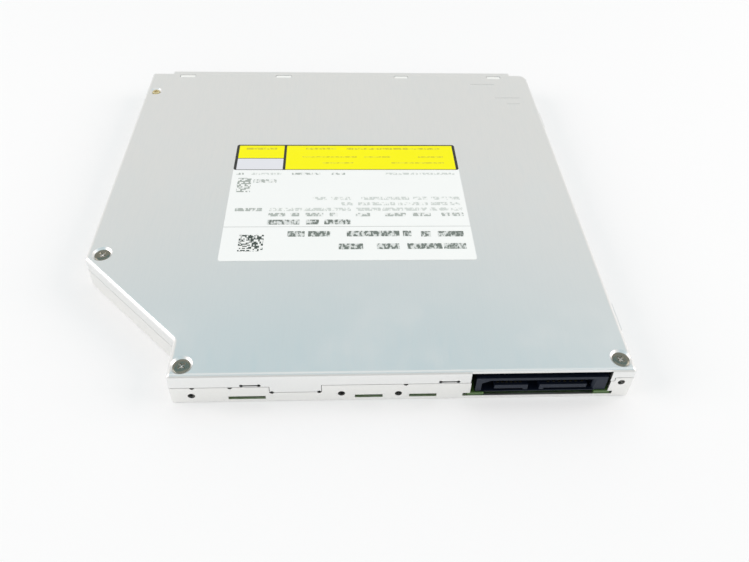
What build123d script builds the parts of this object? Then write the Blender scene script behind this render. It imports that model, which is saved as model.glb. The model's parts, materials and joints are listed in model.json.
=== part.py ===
"""Slim slot-loading disc drive for a portable computer, seen from behind: +X right, +Y front, +Z up.

The origin is on the underside, below the middle of the casing. All lengths are in millimetres.
"""

import os
from math import acos, asin, cos, degrees, hypot, pi, radians, sin, tan

from build123d import *

os.makedirs("parts", exist_ok=True)

# Casing
width = 128.0
depth = 127.0
height = 9.5
sheet = 0.5
bend = 1.0
lip_reach = 1.25
lip_drop = 0.2
pad_rise = 0.3
notch_width = 25.85
notch_length = 36.0
seam_gap = 0.12
side_seam = 5.8
slot_margin = 3.2
slot_floor = 3.9
slot_roof = 8.55

# Disc and its path
disc_hole = 7.5
disc_seat = 6.6
spindle_y = -0.5
arm_level = 5.45
arm_sheet = 0.5
roller_span = (6.2, 8.2)
roller_radius = 1.4

# Fits
running_fit = 0.05
loose_fit = 0.12
cam_fit = 0.15
plate_gap = 0.1

# Mechanism
travel = 8.0
gear_module = 0.4
lens_inner = 24.0
hinge_reach = 73.5
hinge_height = 3.6
lift = 1.9

left = -width / 2
right = width / 2
rear = -depth / 2
front = depth / 2
panel_front = front - lip_reach
wall_right = right - pad_rise
notch_x = left + notch_width
notch_y = rear + notch_length
slot_half = width / 2 - slot_margin
rear_inner = rear + sheet
front_inner = panel_front - sheet
floor_top = sheet
ceiling = height - sheet

casing = Plane.XY

# The deck is level when it is raised, so at rest it leans back about its hinge by this angle
tilt = asin(lift / hinge_reach)
toward_hinge = Vector(-sin(pi / 4), cos(pi / 4), 0)
deck_u = toward_hinge * cos(tilt) + Vector(0, 0, sin(tilt))
deck_w = Vector(0, 0, cos(tilt)) - toward_hinge * sin(tilt)
hinge_point = Vector(0, spindle_y, hinge_height) + toward_hinge * hinge_reach
deck_origin = hinge_point - deck_u * hinge_reach - deck_w * hinge_height
deck = Plane(origin=deck_origin, x_dir=deck_u, z_dir=deck_w)


def save(piece, name):
    """Labels a finished piece and writes it to its own file."""
    piece.label = name
    export_step(piece, f"parts/{name}.step")


def along(base, x=0.0):
    """The plane across a base's own X, where a profile is drawn in Y and Z."""
    return Plane(origin=base.from_local_coords((x, 0, 0)), x_dir=base.y_dir, z_dir=base.x_dir)


def across(base, y=0.0):
    """The plane across a base's own Y, where a profile is drawn in X and Z and extrudes backwards."""
    return Plane(origin=base.from_local_coords((0, y, 0)), x_dir=base.x_dir, z_dir=-base.y_dir)


def turned(base, angle):
    """A base turned about its own Z by an angle in degrees."""
    a = radians(angle)
    return Plane(origin=base.origin, x_dir=base.x_dir * cos(a) + base.y_dir * sin(a), z_dir=base.z_dir)


def post(base, place, *steps, mode=Mode.ADD):
    """Round steps, each of one radius between two heights."""
    for radius, low, high in steps:
        with BuildSketch(base.offset(low)) as step:
            with Locations(place):
                Circle(radius)
        extrude(step.sketch, amount=high - low, mode=mode)


def slab(base, xs, ys, zs, corner=0.0, mode=Mode.ADD):
    """A flat block between pairs of values, with its upright corners rounded."""
    with BuildSketch(base.offset(zs[0])) as area:
        with Locations(((xs[0] + xs[1]) / 2, (ys[0] + ys[1]) / 2)):
            if corner:
                RectangleRounded(xs[1] - xs[0], ys[1] - ys[0], corner)
            else:
                Rectangle(xs[1] - xs[0], ys[1] - ys[0])
    extrude(area.sketch, amount=zs[1] - zs[0], mode=mode)


def rod(base, xs, place, radius, mode=Mode.ADD):
    """A round rod along a base's own X, at a place given in Y and Z."""
    with BuildSketch(along(base, xs[0])) as section:
        with Locations(place):
            Circle(radius)
    extrude(section.sketch, amount=xs[1] - xs[0], mode=mode)


# Outline of the casing from above
front_radius = 3.0
notch_radius = 2.0
corner_radius = 0.6
notch_drop = notch_width


def casing_outline(inset):
    """The casing's plan, with its clipped rear corner, drawn in by an inset."""
    with BuildSketch() as plan:
        with BuildLine():
            Polyline(
                (left, panel_front),
                (wall_right, panel_front),
                (wall_right, rear),
                (notch_x, rear),
                (notch_x, notch_y - notch_drop),
                (left, notch_y),
                close=True,
            )
        make_face()
        for corner, radius in (
            ((wall_right, panel_front), front_radius),
            ((notch_x, notch_y - notch_drop), notch_radius),
            ((left, notch_y), bend),
            ((notch_x, rear), corner_radius),
            ((wall_right, rear), corner_radius),
            ((left, panel_front), corner_radius),
        ):
            fillet(plan.vertices().sort_by_distance(corner)[0], radius)
        if inset:
            offset(amount=-inset, kind=Kind.INTERSECTION, mode=Mode.REPLACE)
    return plan.sketch


plan_outer = casing_outline(0)
plan_inner = casing_outline(sheet)

# Places on the casing
screw_places = [(notch_x + 2.95, rear + 3.1), (left + 3.95, notch_y + 1.5), (right - 3.1, rear + 3.4)]
screw_shank = 1.0
screw_head = 2.05
dimple_mouth = 2.45
dimple_depth = 1.1
corner_place = (left + 3.1, panel_front - 11.85)
corner_shank = 0.7
corner_head = 1.15
corner_mouth = 1.95
corner_depth = 0.75
dimple_slope = (dimple_mouth - screw_shank - plate_gap) / dimple_depth
corner_slope = (corner_mouth - corner_shank - plate_gap) / corner_depth

lip_flat = 2.2
lip_fold = front - lip_flat
lip_span = (left + 7.0, right - 6.2)
hook_spans = [(left + 9.4, left + 14.6), (-22.5, -17.2), (17.7, 22.5), (right - 14.3, right - 9.6)]
hook_rows = (lip_fold - 1.9, lip_fold - 0.3)
lip_top = height - lip_drop
guide_half = width / 2 - 7.0

tapped_hole = 0.8
collar_radius = 1.35
collar_length = 0.6
rear_holes = [(notch_x + 4.65, 2.6), (-0.9, 2.75), (11.65, 2.45), (right - 3.0, 5.3)]
side_hole_height = 3.0
right_holes = [rear + 16.3, front - 27.8]
left_holes = [rear + 43.5, front - 27.8]
pad_lengths = 8.0

board_level = 1.3
board_thick = 0.8
board_top = board_level + board_thick
board_slots = [(-25.6, -17.5), (2.05, 8.2), (14.05, 20.15)]
board_slot_height = 1.0
connector_mouth = (right - 36.65, right - 5.6)
mouth_floor = board_level - plate_gap
ear_slots = (connector_mouth[0] - 1.4, connector_mouth[1] + 1.3)
ear_reach = 0.15
seam_notches = [notch_x + 5.05, -25.0, 13.15]
notch_round = 0.5
dumbbells = [(-22.9, -18.3, 6.0), (20.3, 25.0, 6.35)]
dumbbell_round = 0.42
pressed_lines = [
    (right - 13.9, right - 5.1, front - 16.4),
    (right - 10.5, right - 5.8, front - 20.0),
    (right - 20.8, right - 12.4, front - 7.9),
]
pressed_line_width = 0.6
pressed_line_depth = 0.08

# The seam along the rear wall is lower behind the board's sockets and higher at the right-hand screw
seam_low = 3.5
seam_left = 5.5
seam_middle = 5.85
seam_corner = 7.0
low_span = (-16.5, -5.3)
seam_step = connector_mouth[1] + 0.9
relief_round = 0.45


def seam_side(drop, end):
    """The space on one side of the rear seam, which is lowered by a gap, through the rear wall."""
    with BuildPart(mode=Mode.PRIVATE) as space:
        with BuildSketch(across(casing, rear_inner + bend)):
            with BuildLine():
                Polyline(
                    (notch_x - bend, seam_left - drop),
                    (low_span[0] - drop, seam_left - drop),
                    (low_span[0] - drop, seam_low - drop),
                    (low_span[1] + drop, seam_low - drop),
                    (low_span[1] + drop, seam_middle - drop),
                    (seam_step + drop, seam_middle - drop),
                    (seam_step + drop, seam_corner - drop),
                    (right + bend, seam_corner - drop),
                    (right + bend, end),
                    (notch_x - bend, end),
                    close=True,
                )
            make_face()
        extrude(amount=sheet + 2 * bend)
    return space.part


def seam_reliefs():
    """Round reliefs at the two corners where the seam is lower, through the rear wall."""
    with BuildSketch(across(casing, rear_inner + bend)) as reliefs:
        with Locations(
            (low_span[0] + relief_round, seam_low - seam_gap / 2),
            (low_span[1] - relief_round, seam_low - seam_gap / 2),
        ):
            Circle(relief_round)
    extrude(reliefs.sketch, amount=sheet + 2 * bend, mode=Mode.SUBTRACT)


def wall_collar(plane, depth_in):
    """A drawn collar on a wall's inner face, where the screw thread is."""
    with BuildSketch(plane) as ring:
        Circle(collar_radius)
    extrude(ring.sketch, amount=depth_in)


def wall_bore(plane, reach):
    """A tapped hole through a wall and its collar."""
    with BuildSketch(plane) as bore:
        Circle(tapped_hole)
    extrude(bore.sketch, amount=reach, both=True, mode=Mode.SUBTRACT)


# Top cover: one folded sheet
wall_line = rear_inner + bend
with BuildPart() as top_cover:
    with BuildSketch(casing.offset(seam_low - bend)):
        add(plan_outer)
    extrude(amount=height - seam_low + bend)
    fillet(top_cover.faces().sort_by(Axis.Z)[-1].edges(), bend)
    with BuildPart(mode=Mode.PRIVATE) as cover_room:
        with BuildSketch(casing):
            add(plan_inner)
        extrude(amount=ceiling)
        fillet(cover_room.faces().sort_by(Axis.Z)[-1].edges(), bend - sheet)
    add(cover_room.part, mode=Mode.SUBTRACT)
    slab(casing, (left - bend, right + bend), (wall_line, front), (0, side_seam), mode=Mode.SUBTRACT)
    slab(casing, (left - bend, notch_x), (rear, wall_line), (0, side_seam), mode=Mode.SUBTRACT)
    add(seam_side(0, 0), mode=Mode.SUBTRACT)
    seam_reliefs()

    # The front is open for the disc, and a lip steps down over it
    slab(casing, (-slot_half, slot_half), (front_inner - bend, front), (0, ceiling), mode=Mode.SUBTRACT)
    slab(casing, lip_span, (lip_fold, front), (ceiling - sheet, height + bend), mode=Mode.SUBTRACT)
    with BuildSketch(along(casing, lip_span[0])):
        with BuildLine():
            FilletPolyline(
                (lip_fold - sheet, height),
                (lip_fold, height),
                (lip_fold + sheet, lip_top),
                (front, lip_top),
                (front, slot_roof),
                (front - sheet, slot_roof),
                (front - sheet, lip_top - sheet),
                (lip_fold + sheet, lip_top - sheet),
                (lip_fold - lip_drop, ceiling),
                (lip_fold - sheet, ceiling),
                close=True,
                radius=0.15,
            )
        make_face()
    extrude(amount=lip_span[1] - lip_span[0])
    for x0, x1 in hook_spans:
        slab(casing, (x0, x1), hook_rows, (ceiling - sheet, height), 0.3, mode=Mode.SUBTRACT)

    # Dimples take the screw heads below the surface
    for place in screw_places:
        bottom = height - dimple_depth
        post(casing, place, (dimple_mouth - 0.2, bottom, ceiling))
        with BuildSketch(casing.offset(bottom)):
            with Locations(place):
                Circle(screw_shank + plate_gap)
        with BuildSketch(casing.offset(height)):
            with Locations(place):
                Circle(dimple_mouth)
        loft(mode=Mode.SUBTRACT)
        post(casing, place, (screw_shank + plate_gap, bottom - bend, height), mode=Mode.SUBTRACT)
    bottom = height - corner_depth
    post(casing, corner_place, (corner_mouth - 0.2, bottom, ceiling))
    with BuildSketch(casing.offset(bottom)):
        with Locations(corner_place):
            Circle(corner_shank + plate_gap)
    with BuildSketch(casing.offset(height)):
        with Locations(corner_place):
            Circle(corner_mouth)
    loft(mode=Mode.SUBTRACT)
    post(casing, corner_place, (corner_shank + plate_gap, bottom - bend, height), mode=Mode.SUBTRACT)

    # The rear flange is open over the connector, through its bend
    mouth_rows = (rear - bend, rear_inner + 0.2)
    slab(casing, connector_mouth, mouth_rows, (0, height - bend), mode=Mode.SUBTRACT)
    mouth_rows = (rear - bend, rear_inner - 0.05)
    slab(casing, connector_mouth, mouth_rows, (0, height + bend), mode=Mode.SUBTRACT)
    for x0, x1, z in dumbbells:
        with BuildSketch(across(casing, rear + bend)):
            with Locations(((x0 + x1) / 2, z)):
                Rectangle(x1 - x0 - 2 * dumbbell_round, dumbbell_round)
            with Locations((x0 + dumbbell_round, z), (x1 - dumbbell_round, z)):
                Circle(dumbbell_round)
        extrude(amount=2 * bend, mode=Mode.SUBTRACT)

    # Pads pressed out of the right-hand flange, and stiffening lines pressed into the top
    for y in right_holes:
        with BuildSketch(along(casing, wall_right)):
            with Locations((y, (side_seam + height - bend) / 2)):
                Rectangle(pad_lengths, height - bend - side_seam)
        extrude(amount=pad_rise)
    for x0, x1, y in pressed_lines:
        with BuildSketch(casing.offset(height - pressed_line_depth)):
            with Locations(((x0 + x1) / 2, y)):
                SlotOverall(x1 - x0, pressed_line_width)
        extrude(amount=sheet, mode=Mode.SUBTRACT)
save(top_cover.part, "top_cover")

# Bottom case: one folded tray
with BuildPart() as bottom_case:
    with BuildSketch(casing):
        add(plan_outer)
    extrude(amount=seam_corner)
    fillet(bottom_case.faces().sort_by(Axis.Z)[0].edges(), bend * 0.6)
    with BuildPart(mode=Mode.PRIVATE) as case_room:
        with BuildSketch(casing.offset(floor_top)):
            add(plan_inner)
        extrude(amount=height)
    add(case_room.part, mode=Mode.SUBTRACT)
    over = (side_seam - seam_gap, height)
    slab(casing, (left - bend, right + bend), (wall_line, front + bend), over, mode=Mode.SUBTRACT)
    slab(casing, (left - bend, notch_x), (rear, wall_line), over, mode=Mode.SUBTRACT)
    add(seam_side(seam_gap, height), mode=Mode.SUBTRACT)

    # The front wall is low in front of the disc, and its edge turns outwards
    slot_rows = (front_inner - bend, front)
    slab(casing, (-slot_half, slot_half), slot_rows, (slot_floor, height), mode=Mode.SUBTRACT)
    slab(casing, (-guide_half, guide_half), (front_inner, front), (slot_floor - sheet, slot_floor), 0.2)

    # Screw collars, slots that show the board's edge and the opening for the connector
    for x, z in rear_holes:
        place = across(casing, rear_inner + collar_length).shift_origin(
            (x, rear_inner + collar_length, z)
        )
        wall_collar(place, collar_length)
        wall_bore(place, 2 * bend)
    for y in right_holes:
        with BuildSketch(along(casing, wall_right)):
            with Locations((y, side_hole_height)):
                Rectangle(pad_lengths, 2 * (side_seam - seam_gap - side_hole_height))
        extrude(amount=pad_rise)
        place = along(casing, wall_right - sheet - collar_length).shift_origin(
            (wall_right - sheet - collar_length, y, side_hole_height)
        )
        wall_collar(place, collar_length)
        wall_bore(place, 2 * bend)
    for y in left_holes:
        place = along(casing, left + sheet).shift_origin((left + sheet, y, side_hole_height))
        wall_collar(place, collar_length)
        wall_bore(place, 2 * bend)
    for x0, x1 in board_slots:
        with BuildSketch(across(casing, rear_inner + bend)):
            with Locations(((x0 + x1) / 2, board_level + board_thick / 2)):
                Rectangle(x1 - x0, board_slot_height)
        extrude(amount=sheet + 2 * bend, mode=Mode.SUBTRACT)
    for x in seam_notches:
        with BuildSketch(across(casing, rear_inner + bend)):
            with Locations((x, (seam_left if x < 0 else seam_middle) - seam_gap)):
                Circle(notch_round)
        extrude(amount=sheet + 2 * bend, mode=Mode.SUBTRACT)
    seam_reliefs()
    slab(
        casing, (connector_mouth[0] + 0.2, connector_mouth[1] + 0.2), (rear - bend, rear_inner + 0.2),
        (mouth_floor, height), mode=Mode.SUBTRACT,
    )
    slab(
        casing, ear_slots, (rear - bend, rear_inner + 0.2),
        (mouth_floor, board_top + plate_gap), mode=Mode.SUBTRACT,
    )
save(bottom_case.part, "bottom_case")

# Threaded posts under the dimples, and the screws in them
post_radius = 1.8
with BuildPart() as cover_posts:
    for place in screw_places:
        top = height - dimple_depth
        post(casing, place, (post_radius, floor_top, top))
        post(casing, place, (screw_shank + running_fit, floor_top + bend, top), mode=Mode.SUBTRACT)
    top = height - corner_depth
    post(casing, corner_place, (post_radius * 0.9, floor_top, top))
    post(casing, corner_place, (corner_shank + running_fit, floor_top + bend, top), mode=Mode.SUBTRACT)
save(cover_posts.part, "cover_posts")

recess = (0.55, 2.6)
recess_depth = 0.5
head_gap = 0.03
screw_reach = 3.0
with BuildPart() as cover_screws:
    for place in screw_places:
        bottom = height - dimple_depth
        seat = bottom + head_gap
        head_top = seat + (screw_head - screw_shank - plate_gap) / dimple_slope
        post(casing, place, (screw_shank, bottom - screw_reach, seat + 0.2))
        with BuildSketch(casing.offset(seat)):
            with Locations(place):
                Circle(screw_shank + plate_gap - running_fit)
        with BuildSketch(casing.offset(head_top)):
            with Locations(place):
                Circle(screw_head - running_fit)
        loft()
        post(casing, place, (screw_head - running_fit, head_top, head_top + 0.08))
        with BuildSketch(casing.offset(head_top + 0.1 - recess_depth)):
            with Locations(place):
                Rectangle(*recess)
                Rectangle(recess[1], recess[0])
        extrude(amount=recess_depth, mode=Mode.SUBTRACT)
save(cover_screws.part, "cover_screws")

with BuildPart() as corner_screw:
    bottom = height - corner_depth
    seat = bottom + (corner_head - corner_shank - plate_gap) / corner_slope + head_gap
    post(casing, corner_place, (corner_shank, bottom - screw_reach, seat), (corner_head, seat, seat + 0.4))
    fillet(corner_screw.edges().filter_by(GeomType.CIRCLE).sort_by(Axis.Z)[-1], 0.15)
    with BuildSketch(casing.offset(seat + 0.15)):
        with Locations(corner_place):
            Rectangle(recess[0] * 0.6, recess[1] * 0.45)
            Rectangle(recess[1] * 0.45, recess[0] * 0.6)
    extrude(amount=recess_depth, mode=Mode.SUBTRACT)
save(corner_screw.part, "corner_screw")

# Sticker on the cover
label_thick = 0.08
label_x = (left + 32.65, right - 30.6)
label_y = (rear + 34.6, front - 43.2)
with BuildPart() as rating_label:
    slab(casing, label_x, label_y, (height, height + label_thick), 0.8)
save(rating_label.part, "rating_label")

# Guides above and below the slot that the disc goes through
upper_guide_rows = (lip_fold - 2.7, front - sheet - plate_gap)
guide_roof = ceiling - 0.02
guide_under_lip = lip_top - sheet - 0.02
with BuildPart() as upper_disc_guide:
    slab(casing, (-guide_half, guide_half), upper_guide_rows, (slot_roof - plate_gap, guide_under_lip))
    slab(
        casing, (-guide_half, guide_half), (upper_guide_rows[0], lip_fold - lip_drop),
        (guide_under_lip, guide_roof),
    )
    for x0, x1 in hook_spans:
        hook_x = (x0 + loose_fit, x1 - loose_fit)
        hook_y = (hook_rows[0] + loose_fit, hook_rows[1] - loose_fit)
        slab(casing, hook_x, hook_y, (guide_roof, height - plate_gap), 0.2)
save(upper_disc_guide.part, "upper_disc_guide")

lower_guide_half = guide_half - 1.0
lower_guide_rows = (front - 4.4, front_inner - 0.05)
pocket_count = 8
pocket_pitch = 2 * lower_guide_half / pocket_count
pocket_wall = 5.0
with BuildPart() as lower_disc_guide:
    with BuildSketch(along(casing, -lower_guide_half)):
        with BuildLine():
            Polyline(
                (lower_guide_rows[0], floor_top),
                (lower_guide_rows[1], floor_top),
                (lower_guide_rows[1], slot_floor + plate_gap),
                (lower_guide_rows[1] - 0.9, slot_floor + plate_gap),
                (lower_guide_rows[0], slot_floor - 0.8),
                close=True,
            )
        make_face()
    extrude(amount=2 * lower_guide_half)
    with BuildSketch(casing.offset(floor_top)):
        with Locations((0, (lower_guide_rows[0] + lower_guide_rows[1]) / 2 + 0.1)):
            with GridLocations(pocket_pitch, 1, pocket_count, 1):
                Rectangle(pocket_pitch - pocket_wall, 1.2)
    extrude(amount=slot_floor - floor_top - 1.4, mode=Mode.SUBTRACT)
save(lower_disc_guide.part, "lower_disc_guide")

# Main board, notched round the screw collars, with an ear on each side of the connector
board_left = notch_x + 11.85
board_mid = right - 31.0
board_right = right - 11.7
board_edge = connector_mouth[1] + 0.2
board_rows = (rear + 24.5, rear + 22.5, rear + 14.5)
ears = [
    (connector_mouth[0] - 0.4, connector_mouth[0] + 3.35),
    (connector_mouth[1] - 2.8, connector_mouth[1] + 0.8),
]
board_rear = rear_inner + plate_gap
ear_depth = 1.5
spacer_places = [(board_left + 3.3, rear + 6.5), (board_mid - 4.0, rear + 18.5), (right - 9.0, rear + 12.0)]
board_screw = 0.9
with BuildPart() as main_board:
    with BuildSketch(casing.offset(board_level)):
        with BuildLine():
            Polyline(
                (board_left, board_rear),
                (board_edge, board_rear),
                (board_edge, board_rows[2]),
                (board_right, board_rows[2]),
                (board_right, board_rows[1]),
                (board_mid, board_rows[1]),
                (board_mid, board_rows[0]),
                (board_left, board_rows[0]),
                close=True,
            )
        make_face()
        with Locations(*((x, board_rear) for x, z in rear_holes[1:3])):
            Rectangle(4.0, 5.0, mode=Mode.SUBTRACT)
        for x0, x1 in ears:
            with Locations(((x0 + x1) / 2, rear + ear_reach + 1)):
                Rectangle(x1 - x0, 2.0)
        with Locations(((ears[0][1] + ears[1][0]) / 2, board_rear)):
            Rectangle(ears[1][0] - ears[0][1], 2 * ear_depth, mode=Mode.SUBTRACT)
        with Locations(*spacer_places):
            Circle(board_screw + plate_gap, mode=Mode.SUBTRACT)
    extrude(amount=board_thick)
save(main_board.part, "main_board")

with BuildPart() as board_spacers:
    for place in spacer_places:
        post(casing, place, (1.9, floor_top, board_level))
        post(casing, place, (board_screw + running_fit, floor_top, board_level), mode=Mode.SUBTRACT)
save(board_spacers.part, "board_spacers")

with BuildPart() as board_screws:
    for place in spacer_places:
        post(casing, place, (board_screw, floor_top, board_top), (1.8, board_top, board_top + 0.5))
        with BuildSketch(casing.offset(board_top + 0.2)):
            with Locations(place):
                Rectangle(0.4, 2.0)
                Rectangle(2.0, 0.4)
        extrude(amount=0.5, mode=Mode.SUBTRACT)
save(board_screws.part, "board_screws")

for name, place, size, chip_height in (
    ("controller_chip", (12.0, rear + 13.5), (12.0, 12.0), 1.2),
    ("driver_chip", (-12.0, rear + 13.0), (9.0, 9.0), 1.0),
    ("memory_chip", (-0.5, rear + 13.5), (6.0, 9.0), 0.9),
):
    with BuildPart() as chip:
        with BuildSketch(casing.offset(board_top + plate_gap)):
            with Locations(place):
                Rectangle(*size)
        extrude(amount=chip_height, taper=6)
        pins = int(size[1] / 1.5)
        with BuildSketch(casing.offset(board_top)):
            with Locations(place):
                with GridLocations(size[0] + 0.6, size[1] / pins, 2, pins):
                    Rectangle(1.6, 0.5)
        extrude(amount=0.2)
    save(chip.part, name)

capacitor = (2.2, 1.6, 1.1)
# Each from the middle of the casing and from its rear edge
capacitor_places = [(22.5, 17.5), (22.5, 14.5), (22.5, 11.5), (3.5, 6.0), (-19.0, 13.0), (42.0, 19.5)]
with BuildPart() as board_capacitors:
    for x, from_rear in capacitor_places:
        with BuildSketch(casing.offset(board_top)):
            with Locations((x, rear + from_rear)):
                Rectangle(capacitor[0], capacitor[1])
        extrude(amount=capacitor[2])
save(board_capacitors.part, "board_capacitors")

socket_height = 1.2
flex_width = 8.0
flex_thick = 0.12
flex_x = -20.0
socket_row = (rear + 18.0, rear + 21.5)
motor_socket_row = (rear + 13.0, rear + 16.0)
with BuildPart() as flex_sockets:
    for x, half in ((flex_x, flex_width / 2 + 1), (40.0, 4.0)):
        row = socket_row if x < 0 else motor_socket_row
        slab(casing, (x - half, x + half), row, (board_top, board_top + socket_height))
        slab(
            casing, (x - half + 0.9, x + half - 0.9), (row[1] - 1.2, row[1] + 0.1),
            (board_top + 0.4, board_top + 0.7), mode=Mode.SUBTRACT,
        )
save(flex_sockets.part, "flex_sockets")

# The pickup's flat cable lies on the floor under the deck and rises over the board's edge
flex_end = 2.0
with BuildPart() as pickup_flex:
    with BuildSketch(along(casing, flex_x - flex_width / 2)):
        with BuildLine():
            level = board_top + 0.5
            Polyline(
                (socket_row[1] - 1.0, level),
                (board_rows[0] + 0.5, level),
                (board_rows[0] + 3.5, floor_top),
                (flex_end, floor_top),
                (flex_end, floor_top + flex_thick),
                (board_rows[0] + 3.5 + flex_thick, floor_top + flex_thick),
                (board_rows[0] + 0.5 + flex_thick, level + flex_thick),
                (socket_row[1] - 1.0, level + flex_thick),
                close=True,
            )
        make_face()
    extrude(amount=flex_width)
save(pickup_flex.part, "pickup_flex")

# Connector: a housing open to the rear, with a tongue in two segments
housing_x = (connector_mouth[0] + 1.35, connector_mouth[1] - 0.4)
housing_z = (board_top, 6.8)
housing_y = (rear + 0.4, rear + 9.0)
cavity_x = (housing_x[0] + 1.3, housing_x[1] - 3.1)
cavity_z = (2.3, 6.0)
cavity_back = rear + 6.9
tongue_z = (3.1, 4.3)
tongues = [(cavity_x[0] + 2.9, cavity_x[0] + 10.4), (cavity_x[0] + 13.0, cavity_x[0] + 23.6)]
key_width = 1.0
key_spans = [(tongues[0][1] - key_width, tongues[0][1]), (tongues[1][0], tongues[1][0] + key_width)]
key_foot = 2.6
contact_thick = 0.1
contact_starts = [tongues[0][0] + 0.8, tongues[1][0] + 2.0]
contact_pitches = [1.0, 1.27]
contact_counts = [6, 7]
contact_rows = list(zip(contact_starts, contact_pitches, contact_counts))
contact_width = 0.6
with BuildPart() as sata_connector:
    slab(casing, housing_x, housing_y, housing_z)
    slab(casing, cavity_x, (housing_y[0] - bend, cavity_back), cavity_z, mode=Mode.SUBTRACT)
    # The upper left corner is filled by a gusset
    with BuildSketch(across(casing, cavity_back)):
        with BuildLine():
            x0, top = cavity_x[0], cavity_z[1]
            Polyline((x0, top), (x0 + 1.9, top), (x0, top - 1.0), close=True)
        make_face()
    extrude(amount=cavity_back - housing_y[0])
    inner_corner = (cavity_x[1], housing_y[0], cavity_z[0])
    chamfer(sata_connector.edges().filter_by(Axis.Z).sort_by_distance(inner_corner)[0], 0.5)
    for (x0, x1), (k0, k1) in zip(tongues, key_spans):
        slab(casing, (x0, x1), (housing_y[0] + 0.05, cavity_back), tongue_z)
        slab(casing, (k0, k1), (housing_y[0] + 0.05, cavity_back), (key_foot, tongue_z[0]))
    for x0, pitch, count in contact_rows:
        with BuildSketch(casing.offset(tongue_z[1])):
            with Locations((x0 + pitch * (count - 1) / 2, (housing_y[1] + cavity_back) / 2)):
                with GridLocations(pitch, 1, count, 1):
                    Rectangle(contact_width, housing_y[1] - cavity_back + 0.1)
        extrude(amount=contact_thick, mode=Mode.SUBTRACT)
save(sata_connector.part, "sata_connector")

tail_y = housing_y[1] + 1.2
with BuildSketch(along(casing)) as contact_side:
    with BuildLine():
        leg = housing_y[1] + 0.2
        Polyline(
            (housing_y[0] + 0.8, tongue_z[1]),
            (leg, tongue_z[1]),
            (leg, board_top),
            (tail_y, board_top),
            (tail_y, board_top + contact_thick),
            (leg + contact_thick, board_top + contact_thick),
            (leg + contact_thick, tongue_z[1] + contact_thick),
            (housing_y[0] + 0.8, tongue_z[1] + contact_thick),
            close=True,
        )
    make_face()
with BuildPart() as connector_contacts:
    for x0, pitch, count in contact_rows:
        for i in range(count):
            with BuildSketch(along(casing, x0 + i * pitch - contact_width / 2)):
                add(contact_side.sketch_local)
            extrude(amount=contact_width)
save(connector_contacts.part, "connector_contacts")

# Traverse: a plate on the deck plane, hinged on two rubber dampers at the front left
plate_w = (3.2, 4.0)
plate_v = (-22.5, 21.0)
plate_end = hinge_reach + 3.5
damper_v = 6.0
damper_outer = 2.4
damper_post = 1.0
damper_wall = 0.6
damper_w = (2.4, 4.8)
damper_seat = 2.2
damper_cap = (5.0, 5.6)
window_u = (6.0, hinge_reach - 4.7)
window_v = (-20.2, 17.3)
motor_seat = hinge_reach - 11.5
rod_w = 3.7
main_rod = (-13.0, 1.0)
sub_rod = (14.5, 0.8)
screw_v = -17.8
screw_w = 3.9
screw_radius = 0.9
boss_radius = 2.5
stator_plate = 0.3
lift_edge = -19.5
lift_tab = 0.8
lift_pin = 0.6
lift_pin_w = 4.35
lift_pin_x = (-4.0, 14.0)
lift_pin_end = -22.4
lift_tab_x = (-8.0, 15.0)
lift_tab_top = 4.95


def deck_uv(x, y):
    """A place in the casing's plan, given in the raised deck's own U and V."""
    from_spindle = Vector(x, y - spindle_y, 0)
    return from_spindle.dot(toward_hinge), from_spindle.dot(Vector(0, 0, 1).cross(toward_hinge))


edge_left = deck_uv(lift_tab_x[0], lift_edge)
edge_right = deck_uv(lift_tab_x[1], lift_edge)
spindle_hole = boss_radius + running_fit
with BuildPart() as traverse_frame:
    with BuildSketch(deck.offset(plate_w[0])):
        with BuildLine():
            Polyline(
                (edge_right[0], plate_v[0]),
                (motor_seat - 1.0, plate_v[0]),
                (plate_end, -6.5),
                (plate_end, 9.5),
                (hinge_reach - 7.5, plate_v[1]),
                (edge_left[0] + 1.9, plate_v[1]),
                edge_left,
                edge_right,
                close=True,
            )
        make_face()
        fillet(vertices(), 1.0)
        with BuildSketch(mode=Mode.SUBTRACT):
            with BuildLine():
                Polyline(
                    (window_u[0], window_v[0]),
                    (motor_seat, window_v[0]),
                    (motor_seat, -15.3),
                    (window_u[1], -15.3),
                    (window_u[1], window_v[1]),
                    (window_u[0], window_v[1]),
                    close=True,
                )
            make_face()
            Circle(12.2, mode=Mode.SUBTRACT)
        Circle(spindle_hole, mode=Mode.SUBTRACT)
        with Locations((hinge_reach, damper_v), (hinge_reach, -damper_v)):
            Circle(damper_outer - damper_wall, mode=Mode.SUBTRACT)
        with Locations((-13.0, -13.0), (-4.0, -17.5), (-17.0, -4.5)):
            Circle(1.6, mode=Mode.SUBTRACT)
    extrude(amount=plate_w[1] - plate_w[0])

    # The rear edge turns up, and carries the two pins that lift the deck
    edge_middle = ((edge_left[0] + edge_right[0]) / 2, (edge_left[1] + edge_right[1]) / 2)
    edge_length = hypot(edge_left[0] - edge_right[0], edge_left[1] - edge_right[1])
    tab_plane = Plane(
        origin=deck.from_local_coords((*edge_middle, 0)),
        x_dir=deck.from_local_coords((*edge_right, 0)) - deck.from_local_coords((*edge_left, 0)),
        z_dir=deck_w,
    )
    slab(tab_plane, (-edge_length / 2, edge_length / 2), (-lift_tab, 0), (plate_w[0], lift_tab_top))
    for x in lift_pin_x:
        with BuildSketch(across(tab_plane, -lift_tab)):
            with Locations((x - (lift_tab_x[0] + lift_tab_x[1]) / 2, lift_pin_w)):
                Circle(lift_pin)
        extrude(amount=lift_edge - lift_tab - lift_pin_end)
save(traverse_frame.part, "traverse_frame")

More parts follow.
